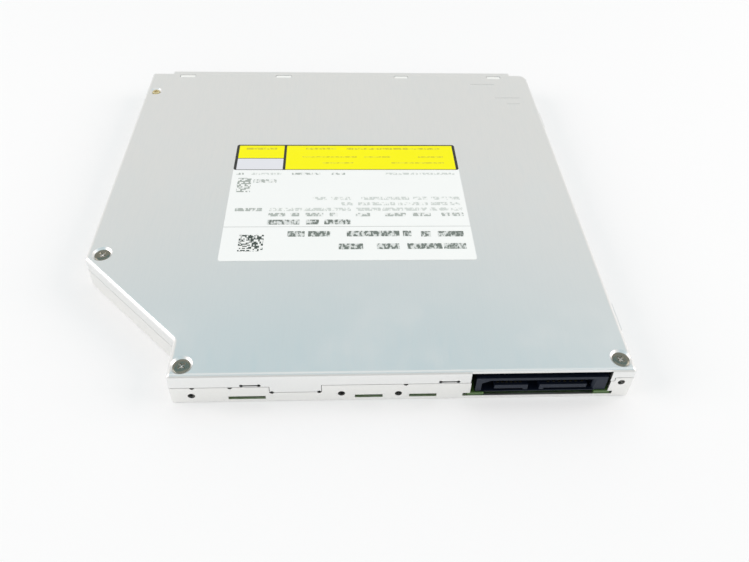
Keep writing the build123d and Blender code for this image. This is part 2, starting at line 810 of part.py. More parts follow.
with BuildPart() as frame_dampers:
    for v in (damper_v, -damper_v):
        with BuildSketch(deck.offset(damper_w[0])):
            with Locations((hinge_reach, v)):
                Circle(damper_outer)
        extrude(amount=damper_w[1] - damper_w[0])
        with BuildSketch(deck.offset(plate_w[0])):
            with Locations((hinge_reach, v)):
                Circle(damper_outer + 0.1)
                Circle(damper_outer - damper_wall, mode=Mode.SUBTRACT)
        extrude(amount=plate_w[1] - plate_w[0], mode=Mode.SUBTRACT)
        with BuildSketch(deck.offset(damper_w[0])):
            with Locations((hinge_reach, v)):
                Circle(damper_post + loose_fit)
        extrude(amount=damper_w[1] - damper_w[0], mode=Mode.SUBTRACT)
save(frame_dampers.part, "frame_dampers")

diagonal = sin(pi / 4)
hinge_places = [
    ((v - hinge_reach) * diagonal, spindle_y + (v + hinge_reach) * diagonal) for v in (damper_v, -damper_v)
]
with BuildPart() as damper_posts:
    for place in hinge_places:
        post(casing, place, (2.0, floor_top, damper_seat), (damper_post, damper_seat, damper_cap[0]))
        post(casing, place, (1.9, *damper_cap))
save(damper_posts.part, "damper_posts")

with BuildPart() as main_guide_rod:
    rod(deck, window_u, (main_rod[0], rod_w), main_rod[1])
save(main_guide_rod.part, "main_guide_rod")

with BuildPart() as sub_guide_rod:
    rod(deck, window_u, (sub_rod[0], rod_w), sub_rod[1])
save(sub_guide_rod.part, "sub_guide_rod")

# Turntable
shaft_radius = 1.0
bell_radius = 11.0
bell_roof = 6.1
hub_radius = disc_hole - 0.1
hub_top = 8.1
stator_top = 5.2
with BuildPart() as spindle_base:
    post(deck, (0, 0), (boss_radius, 2.7, plate_w[1]), (11.5, plate_w[1], plate_w[1] + stator_plate))
    post(deck, (0, 0), (2.0, plate_w[1] + stator_plate, stator_top))
    post(deck, (0, 0), (shaft_radius + running_fit, 3.0, stator_top), mode=Mode.SUBTRACT)
save(spindle_base.part, "spindle_base")

with BuildPart() as stator_coils:
    with BuildSketch(deck.offset(plate_w[1] + stator_plate)):
        Circle(3.6)
        Circle(2.0, mode=Mode.SUBTRACT)
        with PolarLocations(5.6, 9):
            Rectangle(5.0, 1.7)
        with PolarLocations(8.6, 9):
            Rectangle(1.2, 4.0)
    extrude(amount=stator_top - plate_w[1] - stator_plate)
save(stator_coils.part, "stator_coils")

with BuildPart() as rotor_bell:
    post(deck, (0, 0), (bell_radius, plate_w[1] + stator_plate + 0.25, bell_roof))
    post(deck, (0, 0), (bell_radius - 0.8, plate_w[1], bell_roof - sheet), mode=Mode.SUBTRACT)
    post(deck, (0, 0), (shaft_radius, 3.1, bell_roof))
save(rotor_bell.part, "rotor_bell")

with BuildPart() as disc_pad:
    post(deck, (0, 0), (bell_radius, bell_roof, disc_seat))
    post(deck, (0, 0), (8.3, bell_roof, disc_seat), mode=Mode.SUBTRACT)
save(disc_pad.part, "disc_pad")

claw_count = 3
with BuildPart() as centring_hub:
    with BuildSketch(across(deck)):
        with BuildLine():
            Polyline(
                (0, bell_roof),
                (hub_radius, bell_roof),
                (hub_radius, bell_roof + 1.0),
                (hub_radius - 1.2, hub_top),
                (2.4, hub_top),
                (2.0, hub_top - 0.6),
                (0, hub_top - 0.6),
                close=True,
            )
        make_face()
    revolve(axis=Axis(deck_origin, deck_w))
    with BuildSketch(deck.offset(bell_roof + 0.6)):
        with PolarLocations(hub_radius - 1.0, claw_count):
            Rectangle(3.0, 2.6)
    extrude(amount=hub_top, mode=Mode.SUBTRACT)
save(centring_hub.part, "centring_hub")

with BuildPart() as hub_claws:
    for i in range(claw_count):
        with BuildSketch(across(turned(deck, 360 / claw_count * i), 1.2)):
            with BuildLine():
                inner = hub_radius - 2.5
                Polyline(
                    (inner, bell_roof + 0.6),
                    (hub_radius - 0.2, bell_roof + 0.6),
                    (hub_radius - 0.2, bell_roof + 0.9),
                    (hub_radius + 0.2, bell_roof + 1.5),
                    (inner, hub_top - 0.1),
                    close=True,
                )
            make_face()
        extrude(amount=2.4)
save(hub_claws.part, "hub_claws")

# Feed drive: a small motor turns the screw beside the main rod
feed_motor_u = (54.5, motor_seat)
feed_can = 2.2
screw_shaft = 0.5
with BuildPart() as feed_motor:
    rod(deck, feed_motor_u, (screw_v, screw_w), feed_can)
    slab(deck, (feed_motor_u[0], feed_motor_u[0] + 0.8), (plate_v[0] + 0.3, screw_v), (plate_w[1], 5.2))
    shaft_u = (feed_motor_u[0], feed_motor_u[0] + 2.0)
    rod(deck, shaft_u, (screw_v, screw_w), screw_shaft + running_fit, mode=Mode.SUBTRACT)
save(feed_motor.part, "feed_motor")

bracket_u = (window_u[0], window_u[0] + 1.4)
with BuildPart() as screw_bracket:
    slab(deck, bracket_u, (window_v[0] + 0.2, screw_v + 1.6), (2.7, 5.1))
    slab(deck, (bracket_u[0] - 2.6, bracket_u[1]), (window_v[0] + 0.2, screw_v + 1.6), (plate_w[1], 4.5))
    shaft_u = (bracket_u[0] + 0.3, bracket_u[1])
    rod(deck, shaft_u, (screw_v, screw_w), screw_shaft + running_fit, mode=Mode.SUBTRACT)
save(screw_bracket.part, "screw_bracket")

with BuildPart() as feed_screw:
    rod(deck, (bracket_u[1] + 0.2, feed_motor_u[0] - 0.2), (screw_v, screw_w), screw_radius)
    rod(deck, (bracket_u[0] + 0.4, feed_motor_u[0] + 1.9), (screw_v, screw_w), screw_shaft)
save(feed_screw.part, "feed_screw")

# Pickup: a die-cast body on the two rods, hollowed round the spindle on its inner side
body_u = (11.6, 33.0)
body_v = (-15.1, 16.5)
body_w = (2.35, 5.2)
pocket_u = (18.0, 30.0)
pocket_v = 7.2
pocket_w = 3.1
laser_box = ((26.0, 31.5), (9.0, 12.5))
with BuildPart() as pickup_body:
    with BuildSketch(deck.offset(body_w[0])):
        with BuildLine():
            Polyline(
                (body_u[0], body_v[0]),
                (body_u[1] - 3, body_v[0]),
                (body_u[1], body_v[0] + 4),
                (body_u[1], body_v[1] - 5),
                (body_u[1] - 4, body_v[1]),
                (body_u[0] + 5, body_v[1]),
                (body_u[0] + 1, body_v[1] - 4),
                (body_u[0], 8),
                close=True,
            )
        make_face()
        Circle(bell_radius + 2.2, mode=Mode.SUBTRACT)
    extrude(amount=body_w[1] - body_w[0])
    slab(deck, pocket_u, (-pocket_v, pocket_v), (pocket_w, body_w[1]), 1.0, mode=Mode.SUBTRACT)
    slab(deck, *laser_box, (pocket_w, body_w[1]), mode=Mode.SUBTRACT)
    rod(deck, (0, 40), (main_rod[0], rod_w), main_rod[1] + running_fit, mode=Mode.SUBTRACT)
    rod(deck, (0, 40), (sub_rod[0], rod_w), sub_rod[1] + running_fit, mode=Mode.SUBTRACT)
    slab(
        deck, (body_u[0] + 6, body_u[1] - 6), (main_rod[0] - 1.6, main_rod[0] + 1.6), (rod_w, body_w[1]),
        mode=Mode.SUBTRACT,
    )
save(pickup_body.part, "pickup_body")

cover_sheet = 0.15
cover_u = (16.4, 31.8)
cover_v = (-10.0, 12.0)
lens_window = (10.6, 13.2)
with BuildPart() as pickup_cover:
    with BuildSketch(deck.offset(body_w[1])):
        with Locations(((cover_u[0] + cover_u[1]) / 2, (cover_v[0] + cover_v[1]) / 2)):
            RectangleRounded(cover_u[1] - cover_u[0], cover_v[1] - cover_v[0], 1.2)
        with Locations((lens_inner, 0)):
            RectangleRounded(*lens_window, 0.8, mode=Mode.SUBTRACT)
    extrude(amount=cover_sheet)
save(pickup_cover.part, "pickup_cover")

with BuildPart() as laser_module:
    (u0, u1), (v0, v1) = laser_box
    slab(deck, (u0 + plate_gap, u1 - plate_gap), (v0 + plate_gap, v1 - plate_gap), (pocket_w, body_w[1]))
save(laser_module.part, "laser_module")

holder_half = (4.5, 5.4)
holder_w = (3.65, 5.0)
lens_ring = 0.25
lens_radius = 2.0
with BuildPart() as actuator_magnets:
    for v in (-1, 1):
        slab(
            deck, (lens_inner - 3.5, lens_inner + 3.5),
            sorted((v * (pocket_v - 0.05), v * (holder_half[1] + 0.6))), (pocket_w, 4.9),
        )
save(actuator_magnets.part, "actuator_magnets")

with BuildPart() as lens_holder:
    slab(
        deck, (lens_inner - holder_half[0], lens_inner + holder_half[0]), (-holder_half[1], holder_half[1]),
        holder_w, 0.8,
    )
    post(deck, (lens_inner, 0), (2.6, holder_w[1], holder_w[1] + lens_ring))
save(lens_holder.part, "lens_holder")

with BuildPart() as objective_lens:
    low = holder_w[1] + lens_ring
    with BuildSketch(across(deck)):
        with BuildLine():
            Polyline((lens_inner + lens_radius, low), (lens_inner, low), (lens_inner, low + 0.45))
            ThreePointArc(
                (lens_inner, low + 0.45), (lens_inner + 1.1, low + 0.33), (lens_inner + lens_radius, low)
            )
        make_face()
    revolve(axis=Axis(deck.from_local_coords((lens_inner, 0, 0)), deck_w))
save(objective_lens.part, "objective_lens")

nut_u = (15.3, 19.3)
with BuildPart() as feed_nut:
    slab(deck, nut_u, (screw_v + 0.1, body_v[0]), (2.9, 4.9))
    rod(deck, (nut_u[0] - 1, nut_u[1] + 1), (screw_v, screw_w), screw_radius + plate_gap, mode=Mode.SUBTRACT)
save(feed_nut.part, "feed_nut")

# Loading gears: full-depth teeth drawn from the involute at the pitch circle and the tip
pressure = radians(20)
addendum = 0.8 * gear_module
dedendum = 1.05 * gear_module
thinning = 0.1


def half_tooth(teeth, radius):
    """Half the angle that one tooth takes at a radius."""
    pitch_radius = gear_module * teeth / 2
    base = pitch_radius * cos(pressure)
    lean = acos(min(1.0, base / radius))
    return (
        pi / 2 / teeth - thinning / 2 / pitch_radius + (tan(pressure) - pressure) - (tan(lean) - lean)
    )


def toothed_wheel(place, teeth, first_tooth, low, high):
    """A spur gear in the part that is being built."""
    pitch_radius = gear_module * teeth / 2
    steps = [(r, half_tooth(teeth, r)) for r in (
        pitch_radius - dedendum, pitch_radius, pitch_radius + addendum
    )]
    flank = [(r, -a) for r, a in steps] + [(r, a) for r, a in reversed(steps)]
    points = []
    for i in range(teeth):
        middle = radians(first_tooth) + 2 * pi * i / teeth
        points += [
            (place[0] + r * cos(middle + a), place[1] + r * sin(middle + a)) for r, a in flank
        ]
    with BuildSketch(casing.offset(low)) as gear:
        with BuildLine():
            Polyline(*points, close=True)
        make_face()
    extrude(gear.sketch, amount=high - low)


pinion_teeth = 14
wheel_teeth = 34
worm_wheel_teeth = 28
gear_post = 0.9
gear_hub = 1.6
hub_low = 0.8
second_place = (51.2, 12.0)
first_angle = 120.0
mesh_distance = gear_module * (pinion_teeth + wheel_teeth) / 2
first_place = (
    second_place[0] + mesh_distance * cos(radians(first_angle)),
    second_place[1] + mesh_distance * sin(radians(first_angle)),
)
rack_line = second_place[0] + gear_module * pinion_teeth / 2
worm_level = 2.95
worm_pitch_radius = 1.5
worm_row = first_place[1] + gear_module * worm_wheel_teeth / 2 + worm_pitch_radius
upper_gears = (3.8, 4.8)
worm_wheel_z = (2.35, 3.55)
gear_cap = (4.9, 5.15)
rack_z = (2.0, 3.2)

with BuildPart() as second_gear:
    post(casing, second_place, (gear_hub, hub_low, upper_gears[1]))
    toothed_wheel(second_place, pinion_teeth, 0, rack_z[0], rack_z[1] + 0.3)
    toothed_wheel(second_place, wheel_teeth, first_angle, *upper_gears)
    post(casing, second_place, (gear_post + running_fit, hub_low, upper_gears[1]), mode=Mode.SUBTRACT)
save(second_gear.part, "second_gear")

with BuildPart() as first_gear:
    post(casing, first_place, (gear_hub, hub_low, upper_gears[1]))
    toothed_wheel(first_place, worm_wheel_teeth, 90, *worm_wheel_z)
    toothed_wheel(first_place, pinion_teeth, first_angle + 180 + 180 / pinion_teeth, *upper_gears)
    post(casing, first_place, (gear_post + running_fit, hub_low, upper_gears[1]), mode=Mode.SUBTRACT)
save(first_gear.part, "first_gear")

with BuildPart() as gear_posts:
    for place in (first_place, second_place):
        post(casing, place, (gear_hub, floor_top, hub_low - 0.05))
        post(casing, place, (gear_post, floor_top, gear_cap[0]), (1.3, *gear_cap))
save(gear_posts.part, "gear_posts")

# Worm, its motor and the bracket that holds both
motor_x = (26.0, 41.0)
motor_radius = 2.9
motor_half = 2.3
worm_x = (43.4, 49.4)
worm_core = 0.9
worm_shaft = 0.5
worm_axis = (worm_row, worm_level)
motor_boss = 1.2
bracket_x = (41.0, 51.4)
bracket_sheet = 0.8
bracket_half = 2.6
with BuildPart() as loading_motor:
    with BuildSketch(along(casing, motor_x[0])):
        with Locations(worm_axis):
            Circle(motor_radius)
            Rectangle(2 * motor_radius, 2 * motor_half, mode=Mode.INTERSECT)
    extrude(amount=motor_x[1] - motor_x[0])
    rod(casing, (motor_x[1], motor_x[1] + 1.3), worm_axis, motor_boss)
    rod(casing, (motor_x[1] - 1, motor_x[1] + 2), worm_axis, worm_shaft + running_fit, mode=Mode.SUBTRACT)
    rod(casing, (motor_x[0] - 0.8, motor_x[0]), worm_axis, motor_boss)
save(loading_motor.part, "loading_motor")

with BuildPart() as worm_bracket:
    ends = (worm_row - bracket_half, worm_row + bracket_half)
    slab(casing, bracket_x, ends, (floor_top, floor_top + 0.4))
    slab(casing, (bracket_x[0], bracket_x[0] + bracket_sheet), ends, (floor_top, 5.2))
    slab(casing, (bracket_x[1] - bracket_sheet, bracket_x[1]), ends, (floor_top, 5.2))
    for x, radius in ((bracket_x[0], motor_boss), (bracket_x[1] - bracket_sheet, worm_shaft)):
        rod(casing, (x - 1, x + 2), worm_axis, radius + running_fit, mode=Mode.SUBTRACT)
save(worm_bracket.part, "worm_bracket")

with BuildPart() as loading_worm:
    rod(casing, worm_x, worm_axis, worm_core)
    rod(casing, (motor_x[1] - 0.9, bracket_x[1] + 0.2), worm_axis, worm_shaft)
save(loading_worm.part, "loading_worm")

# Levers: where each stands at rest and how far it turns, in degrees
loading_pivot = (58.5, 57.5)
loading_reach = 39.5
loading_rest = -114.84
loading_turn = 26.0
eject_pivot = (12.0, -36.0)
eject_reach = 44.0
eject_rest = 52.0
eject_turn = -42.0
cam_radius = 12.0
cam_pin = 0.7
crank_pivot = (45.0, -36.0)
crank_radius = 12.0
crank_rest = degrees(asin(travel / 2 / crank_radius))
crank_pin = 0.6


def on_circle(centre, radius, angle):
    """The place at an angle in degrees on a circle."""
    return centre[0] + radius * cos(radians(angle)), centre[1] + radius * sin(radians(angle))


def cam_path(pivot, rest, turn, slide_x, slide_y, count=7):
    """The way of a lever's cam pin over a slider that moves by one travel as the lever turns."""
    path = []
    for i in range(count):
        share = i / (count - 1)
        x, y = on_circle(pivot, cam_radius, rest + turn * share)
        path.append((x - slide_x * share, y - slide_y * share))
    return path


def cam_slot(path, slot_width):
    """A slot that follows a path, as a sketch in the sketch that is being built."""
    with BuildLine() as way:
        Spline(*path)
    trace(way.line, line_width=slot_width)
    with Locations(path[0], path[-1]):
        Circle(slot_width / 2)


loading_path = cam_path(loading_pivot, loading_rest, loading_turn, 0, -travel)
eject_path = cam_path(eject_pivot, eject_rest, eject_turn, travel, 0)

# Main slider: a moulded bar with a rack, a cam table and a thin tongue for the bell crank
slider_x = (rack_line + dedendum, 61.5)
slider_rows = (-20.0, 55.0)
slider_z = (0.7, rack_z[1])
table_x = (52.2, 61.5)
table_rows = (44.5, 55.0)
table_top = 5.15
groove_floor = 4.1
tongue_x = (54.4, 60.0)
tongue_rows = (-40.0, slider_rows[0])
tongue_level = (0.8, 1.4)
guide_x = 58.5
main_guides = (-12.0, 26.0)
guide_pin = 1.0
rack_rows = (7.2, 24.8)
with BuildPart() as main_slider:
    slab(casing, slider_x, slider_rows, slider_z)
    slab(casing, table_x, table_rows, (slider_z[0], table_top))
    slab(casing, tongue_x, tongue_rows, tongue_level)
    with BuildSketch(casing.offset(groove_floor)):
        cam_slot(loading_path, 2 * (cam_pin + cam_fit))
    extrude(amount=table_top, mode=Mode.SUBTRACT)
    for y in main_guides:
        with BuildSketch(casing):
            with Locations((guide_x, y + travel / 2)):
                SlotCenterToCenter(travel, 2 * (guide_pin + plate_gap), rotation=90)
        extrude(amount=table_top, mode=Mode.SUBTRACT)
    crank_x, crank_y = on_circle(crank_pivot, crank_radius, crank_rest)
    swing = crank_radius - (crank_x - crank_pivot[0])
    with BuildSketch(casing):
        with Locations((crank_x + swing / 2, crank_y)):
            SlotCenterToCenter(swing + 0.3, 2 * (crank_pin + plate_gap))
    extrude(amount=slider_z[1], mode=Mode.SUBTRACT)

    # Rack teeth, with a space at the pinion's middle
    pitch = gear_module * pi
    count = int((rack_rows[1] - rack_rows[0]) / pitch)
    with BuildSketch(casing.offset(rack_z[0])):
        for i in range(count):
            middle = second_place[1] + (i - 3.5) * pitch
            half = pitch / 4 - thinning / 2
            lean_in = addendum * tan(pressure)
            lean_out = dedendum * tan(pressure)
            with BuildLine():
                Polyline(
                    (slider_x[0], middle - half - lean_out),
                    (rack_line - addendum, middle - half + lean_in),
                    (rack_line - addendum, middle + half - lean_in),
                    (slider_x[0], middle + half + lean_out),
                    close=True,
                )
            make_face()
    extrude(amount=rack_z[1] - rack_z[0])
save(main_slider.part, "main_slider")

# Lift slider: a folded plate whose upright wall has the two ramps, with a cam block for the eject arm
wall_y = (-22.6, -21.8)
wall_x = (-14.5, 16.0)
wall_z = (0.8, 5.3)
flange_x = (-15.0, 44.0)
flange_rows = (-31.0, wall_y[0])
flange_top = 1.4
lift_guides = (-4.0, 34.0)
lift_guide_row = -27.5
lift_guide_pin = 0.9
block_top = 4.4
lift_pin_rest = []
for x in lift_pin_x:
    u, v = deck_uv(x, (lift_edge - lift_tab + lift_pin_end) / 2)
    lift_pin_rest.append(deck.from_local_coords((u, v, lift_pin_w)))
with BuildPart() as lift_slider:
    slab(casing, wall_x, wall_y, wall_z)
    slab(casing, flange_x, flange_rows, (wall_z[0], flange_top))
    with BuildSketch(casing.offset(wall_z[0])):
        cam_slot(eject_path, 4.0)
    extrude(amount=block_top - wall_z[0])
    with BuildSketch(casing):
        cam_slot(eject_path, 2 * (cam_pin + cam_fit))
    extrude(amount=table_top, mode=Mode.SUBTRACT)
    for x in lift_guides:
        with BuildSketch(casing):
            with Locations((x - travel / 2, lift_guide_row)):
                SlotCenterToCenter(travel, 2 * (lift_guide_pin + plate_gap))
        extrude(amount=table_top, mode=Mode.SUBTRACT)
    for place, x in zip(lift_pin_rest, lift_pin_x):
        with BuildSketch(across(casing, wall_y[1] + 1)):
            with BuildLine() as ramp:
                Line((place.X, place.Z), (x - travel, lift_pin_w))
            SlotCenterPoint(ramp.line @ 0.5, ramp.line @ 1, 2 * (lift_pin + loose_fit))
        extrude(amount=wall_y[1] - wall_y[0] + 1.2, mode=Mode.SUBTRACT)
    crank_x, crank_y = on_circle(crank_pivot, crank_radius, 90 + crank_rest)
    swing = crank_pivot[1] + crank_radius - crank_y
    with BuildSketch(casing):
        with Locations((crank_x, crank_y + swing / 2)):
            SlotCenterToCenter(swing + 0.3, 2 * (crank_pin + plate_gap), rotation=90)
    extrude(amount=flange_top, mode=Mode.SUBTRACT)
save(lift_slider.part, "lift_slider")

with BuildPart() as slider_pins:
    for y in main_guides:
        top = slider_z[1] + 0.15
        post(casing, (guide_x, y), (guide_pin, floor_top, top), (1.7, top, top + 0.5))
    for x in lift_guides:
        top = flange_top + 0.15
        post(casing, (x, lift_guide_row), (lift_guide_pin, floor_top, top), (1.5, top, top + 0.4))
save(slider_pins.part, "slider_pins")

# Bell crank between the two sliders
crank_z = (1.5, 2.1)
lever_post = 1.0
with BuildPart() as bell_crank:
    arms = [on_circle(crank_pivot, crank_radius, angle + crank_rest) for angle in (0, 90)]
    for place in arms:
        with BuildSketch(casing.offset(crank_z[0])):
            with BuildLine() as arm:
                Line(crank_pivot, place)
            SlotCenterPoint(arm.line @ 0.5, arm.line @ 1, 2.8)
        extrude(amount=crank_z[1] - crank_z[0])
        post(casing, place, (crank_pin, 0.85, crank_z[0]))
    post(casing, crank_pivot, (2.2, hub_low, crank_z[1]))
    post(casing, crank_pivot, (lever_post + running_fit, hub_low, crank_z[1]), mode=Mode.SUBTRACT)
save(bell_crank.part, "bell_crank")

# Swing arms with a roller at the tip, which hold the disc's edge
arm_pin_low = (4.25, 3.4)
roller_pin = 0.6
for name, pivot, reach, rest, pin_low, hub_top_z in (
    ("loading_arm", loading_pivot, loading_reach, loading_rest, arm_pin_low[0], 6.6),
    ("eject_arm", eject_pivot, eject_reach, eject_rest, arm_pin_low[1], arm_level + arm_sheet + 0.1),
):
    tip = on_circle(pivot, reach, rest)
    with BuildPart() as swing_arm:
        with BuildSketch(casing.offset(arm_level)):
            with Locations(pivot):
                Circle(2.6)
            with Locations(tip):
                Circle(1.5)
            make_hull()
        extrude(amount=arm_sheet)
        with BuildSketch(casing.offset(arm_level)):
            for share in (0.42, 0.6, 0.78):
                with Locations(on_circle(pivot, reach * share, rest)):
                    Circle(0.8)
        extrude(amount=arm_sheet, mode=Mode.SUBTRACT)
        post(casing, pivot, (2.2, arm_level, hub_top_z))
        post(casing, pivot, (lever_post + running_fit, arm_level, hub_top_z), mode=Mode.SUBTRACT)
        post(casing, on_circle(pivot, cam_radius, rest), (cam_pin, pin_low, arm_level))
        post(casing, tip, (roller_pin, arm_level, roller_span[1] + 0.1))
        post(casing, tip, (1.0, arm_level, roller_span[0] - 0.05))
    save(swing_arm.part, name)
    with BuildPart() as roller:
        with BuildSketch(along(casing)):
            with BuildLine():
                Polyline(
                    (roller_pin + running_fit, roller_span[0]),
                    (roller_radius, roller_span[0]),
                    (roller_radius - 0.35, (roller_span[0] + roller_span[1]) / 2),
                    (roller_radius, roller_span[1]),
                    (roller_pin + running_fit, roller_span[1]),
                    close=True,
                )
            make_face()
        revolve(axis=Axis.Z)
    save(roller.part.move(Location((tip[0], tip[1], 0))), name.replace("_arm", "_roller"))

with BuildPart() as lever_posts:
    for place, collar_top, top, cap_top in (
        (crank_pivot, 0.75, crank_z[1] + 0.1, crank_z[1] + 0.4),
        (eject_pivot, arm_level - 0.05, 6.1, 6.35),
        (loading_pivot, arm_level - 0.05, 6.65, 7.1),
    ):
        post(casing, place, (1.6, floor_top, collar_top), (lever_post, floor_top, top), (1.6, top, cap_top))
save(lever_posts.part, "lever_posts")
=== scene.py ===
# %% [markdown]
# # A slim slot-loading DVD writer
#
# The drive lies on its back on a white table, with its rear edge and connector towards us. Its
# shapes were all made in CAD, so this lesson dresses them: it sets up the camera and light, gives
# each finish its own procedural material, and models what a CAD part leaves out, such as the print
# on the label and the threads on the screws.

# %% Load the drive
import json
import math

import bpy
from mathutils import Matrix, Vector


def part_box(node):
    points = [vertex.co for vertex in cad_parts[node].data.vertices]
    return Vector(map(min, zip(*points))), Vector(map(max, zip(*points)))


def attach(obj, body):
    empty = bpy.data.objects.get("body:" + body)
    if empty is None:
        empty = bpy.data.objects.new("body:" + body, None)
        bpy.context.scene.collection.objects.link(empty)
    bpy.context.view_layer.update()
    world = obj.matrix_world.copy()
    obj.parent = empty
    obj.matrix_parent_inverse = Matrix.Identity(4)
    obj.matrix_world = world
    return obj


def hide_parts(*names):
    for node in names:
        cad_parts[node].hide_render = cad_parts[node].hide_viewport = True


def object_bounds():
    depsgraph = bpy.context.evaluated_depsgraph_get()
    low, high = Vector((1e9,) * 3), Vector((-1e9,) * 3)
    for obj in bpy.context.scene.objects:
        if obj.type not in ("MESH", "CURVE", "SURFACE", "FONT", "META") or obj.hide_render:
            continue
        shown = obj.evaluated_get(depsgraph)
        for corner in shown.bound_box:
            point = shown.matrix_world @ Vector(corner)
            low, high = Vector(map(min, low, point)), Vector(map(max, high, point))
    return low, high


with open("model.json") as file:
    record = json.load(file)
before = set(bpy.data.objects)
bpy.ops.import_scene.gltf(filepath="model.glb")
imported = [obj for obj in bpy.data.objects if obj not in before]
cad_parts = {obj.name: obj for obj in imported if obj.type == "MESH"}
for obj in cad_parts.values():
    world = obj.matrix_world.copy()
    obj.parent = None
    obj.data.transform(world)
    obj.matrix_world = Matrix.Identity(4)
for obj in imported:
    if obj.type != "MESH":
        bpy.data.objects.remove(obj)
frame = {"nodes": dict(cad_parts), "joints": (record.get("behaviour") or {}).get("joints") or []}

MM = 0.001
nodes = frame["nodes"]
cad_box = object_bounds()
print("CAD nodes loaded:", len(nodes))

# %% [markdown]
# ## Camera
#
# The photograph was taken by hand from above the rear edge, a little to the left and slightly
# rolled. The camera stands where lines drawn through the drive's straight edges put it. The picture
# was cropped after it was taken, so its optical centre is above its middle, and a small vertical
# shift of the lens gives the same framing without tilting the camera.

# %% Camera
SENSOR = 36.0
LENS = 34.789
CAMERA_PLACE = Vector((-1.3531, -157.5543, 136.5471)) * MM
LOOKING_DOWN = math.radians(41.3895)
TURNED_RIGHT = math.radians(3.7641)
ROLL = math.radians(2.2866)
CROP_SHIFT = -0.0814

forward = Vector(
    (
        math.sin(TURNED_RIGHT) * math.cos(LOOKING_DOWN),
        math.cos(TURNED_RIGHT) * math.cos(LOOKING_DOWN),
        -math.sin(LOOKING_DOWN),
    )
)
level_right = Vector((math.cos(TURNED_RIGHT), -math.sin(TURNED_RIGHT), 0))
level_up = level_right.cross(forward)
right = math.cos(ROLL) * level_right + math.sin(ROLL) * level_up
up = math.cos(ROLL) * level_up - math.sin(ROLL) * level_right

camera_data = bpy.data.cameras.new("photo_camera")
camera_data.sensor_width = SENSOR
camera_data.lens = LENS
camera_data.shift_y = CROP_SHIFT
camera_data.clip_start = 0.01
camera = bpy.data.objects.new("photo_camera", camera_data)
bpy.context.scene.collection.objects.link(camera)
turn = Matrix((right, up, -forward)).transposed().to_4x4()
camera.matrix_world = Matrix.Translation(CAMERA_PLACE) @ turn
bpy.context.scene.camera = camera
print("Camera stands", round(CAMERA_PLACE.length / MM), "mm from the middle of the drive")

# %% [markdown]
# ## Table and light
#
# A rolled steel sheet shows the room more than its own colour, so the room matters here: the sky
# is a soft gradient, warm white low down, bluish grey higher up and white again overhead. The far
# part of the cover mirrors the low sky and the near part mirrors the high sky, which gives the
# sheet its slow change from warm to cool. Behind the camera the room is dimmer near the horizon,
# and the rounded bend above the rear wall shows it as a thin grey line. Two large soft lamps stand
# at the sides, where the cover doesn't mirror them, and only the slanted wall at the left gleams.

# %% Sky
SKY_STOPS = (
    (0.00, (0.88, 0.88, 0.87)),
    (0.50, (0.80, 0.80, 0.78)),
    (0.69, (0.92, 0.83, 0.78)),
    (0.75, (0.45, 0.64, 0.71)),
    (0.85, (0.20, 0.49, 0.60)),
    (0.90, (0.80, 0.81, 0.80)),
    (1.00, (0.92, 0.92, 0.91)),
)
DIM_BEHIND = 0.62
DIM_FROM, DIM_UNTIL = -0.98, -0.70


def add_node(tree, kind, **settings):
    """Adds one shader node and sets its options."""
    node = tree.nodes.new(kind)
    for option, value in settings.items():
        setattr(node, option, value)
    return node


def fill_ramp(ramp, stops):
    """Gives a colour ramp its stops, as pairs of a place and a colour."""
    elements = ramp.color_ramp.elements
    while len(elements) > 1:
        elements.remove(elements[-1])
    for number, (place, colour) in enumerate(stops):
        element = elements[0] if number == 0 else elements.new(place)
        element.position = place
        element.color = (*colour, 1)


world = bpy.data.worlds.new("studio")
bpy.context.scene.world = world
world.use_nodes = True
sky = world.node_tree
background = sky.nodes["Background"]
direction = add_node(sky, "ShaderNodeTexCoord")
height = add_node(sky, "ShaderNodeSeparateXYZ")
ramp = add_node(sky, "ShaderNodeValToRGB")
fill_ramp(ramp, SKY_STOPS)
sky.links.new(direction.outputs["Generated"], height.inputs[0])
sky.links.new(height.outputs["Z"], ramp.inputs["Fac"])
behind = add_node(sky, "ShaderNodeMapRange")
behind.inputs["From Min"].default_value = DIM_FROM
behind.inputs["From Max"].default_value = DIM_UNTIL
behind.inputs["To Min"].default_value = DIM_BEHIND
sky.links.new(height.outputs["Y"], behind.inputs["Value"])
dimmed = add_node(sky, "ShaderNodeVectorMath", operation="SCALE")
sky.links.new(ramp.outputs["Color"], dimmed.inputs[0])
sky.links.new(behind.outputs["Result"], dimmed.inputs["Scale"])
sky.links.new(dimmed.outputs["Vector"], background.inputs["Color"])
background.inputs["Strength"].default_value = 1.0
print("Sky stops:", len(SKY_STOPS))

# %% Lamp and table
LAMP_PLACES = {
    "left_window": Vector((-720, -60, 430)) * MM,
    "right_window": Vector((720, 0, 430)) * MM,
}
LAMP_SIZE = 0.5
LAMP_POWER = 2.4
LAMP_COLOUR = (1.0, 0.87, 0.85)
TABLE_SIZE = 6.0
TABLE_TONE = 0.66
TABLE_GLOW = 0.29

for name, place in LAMP_PLACES.items():
    lamp_data = bpy.data.lights.new(name, "AREA")
    lamp_data.size = LAMP_SIZE
    lamp_data.energy = LAMP_POWER
    lamp_data.color = LAMP_COLOUR
    lamp = bpy.data.objects.new(name, lamp_data)
    bpy.context.scene.collection.objects.link(lamp)
    lamp.location = place
    lamp.rotation_euler = (-place).to_track_quat("-Z", "Y").to_euler()

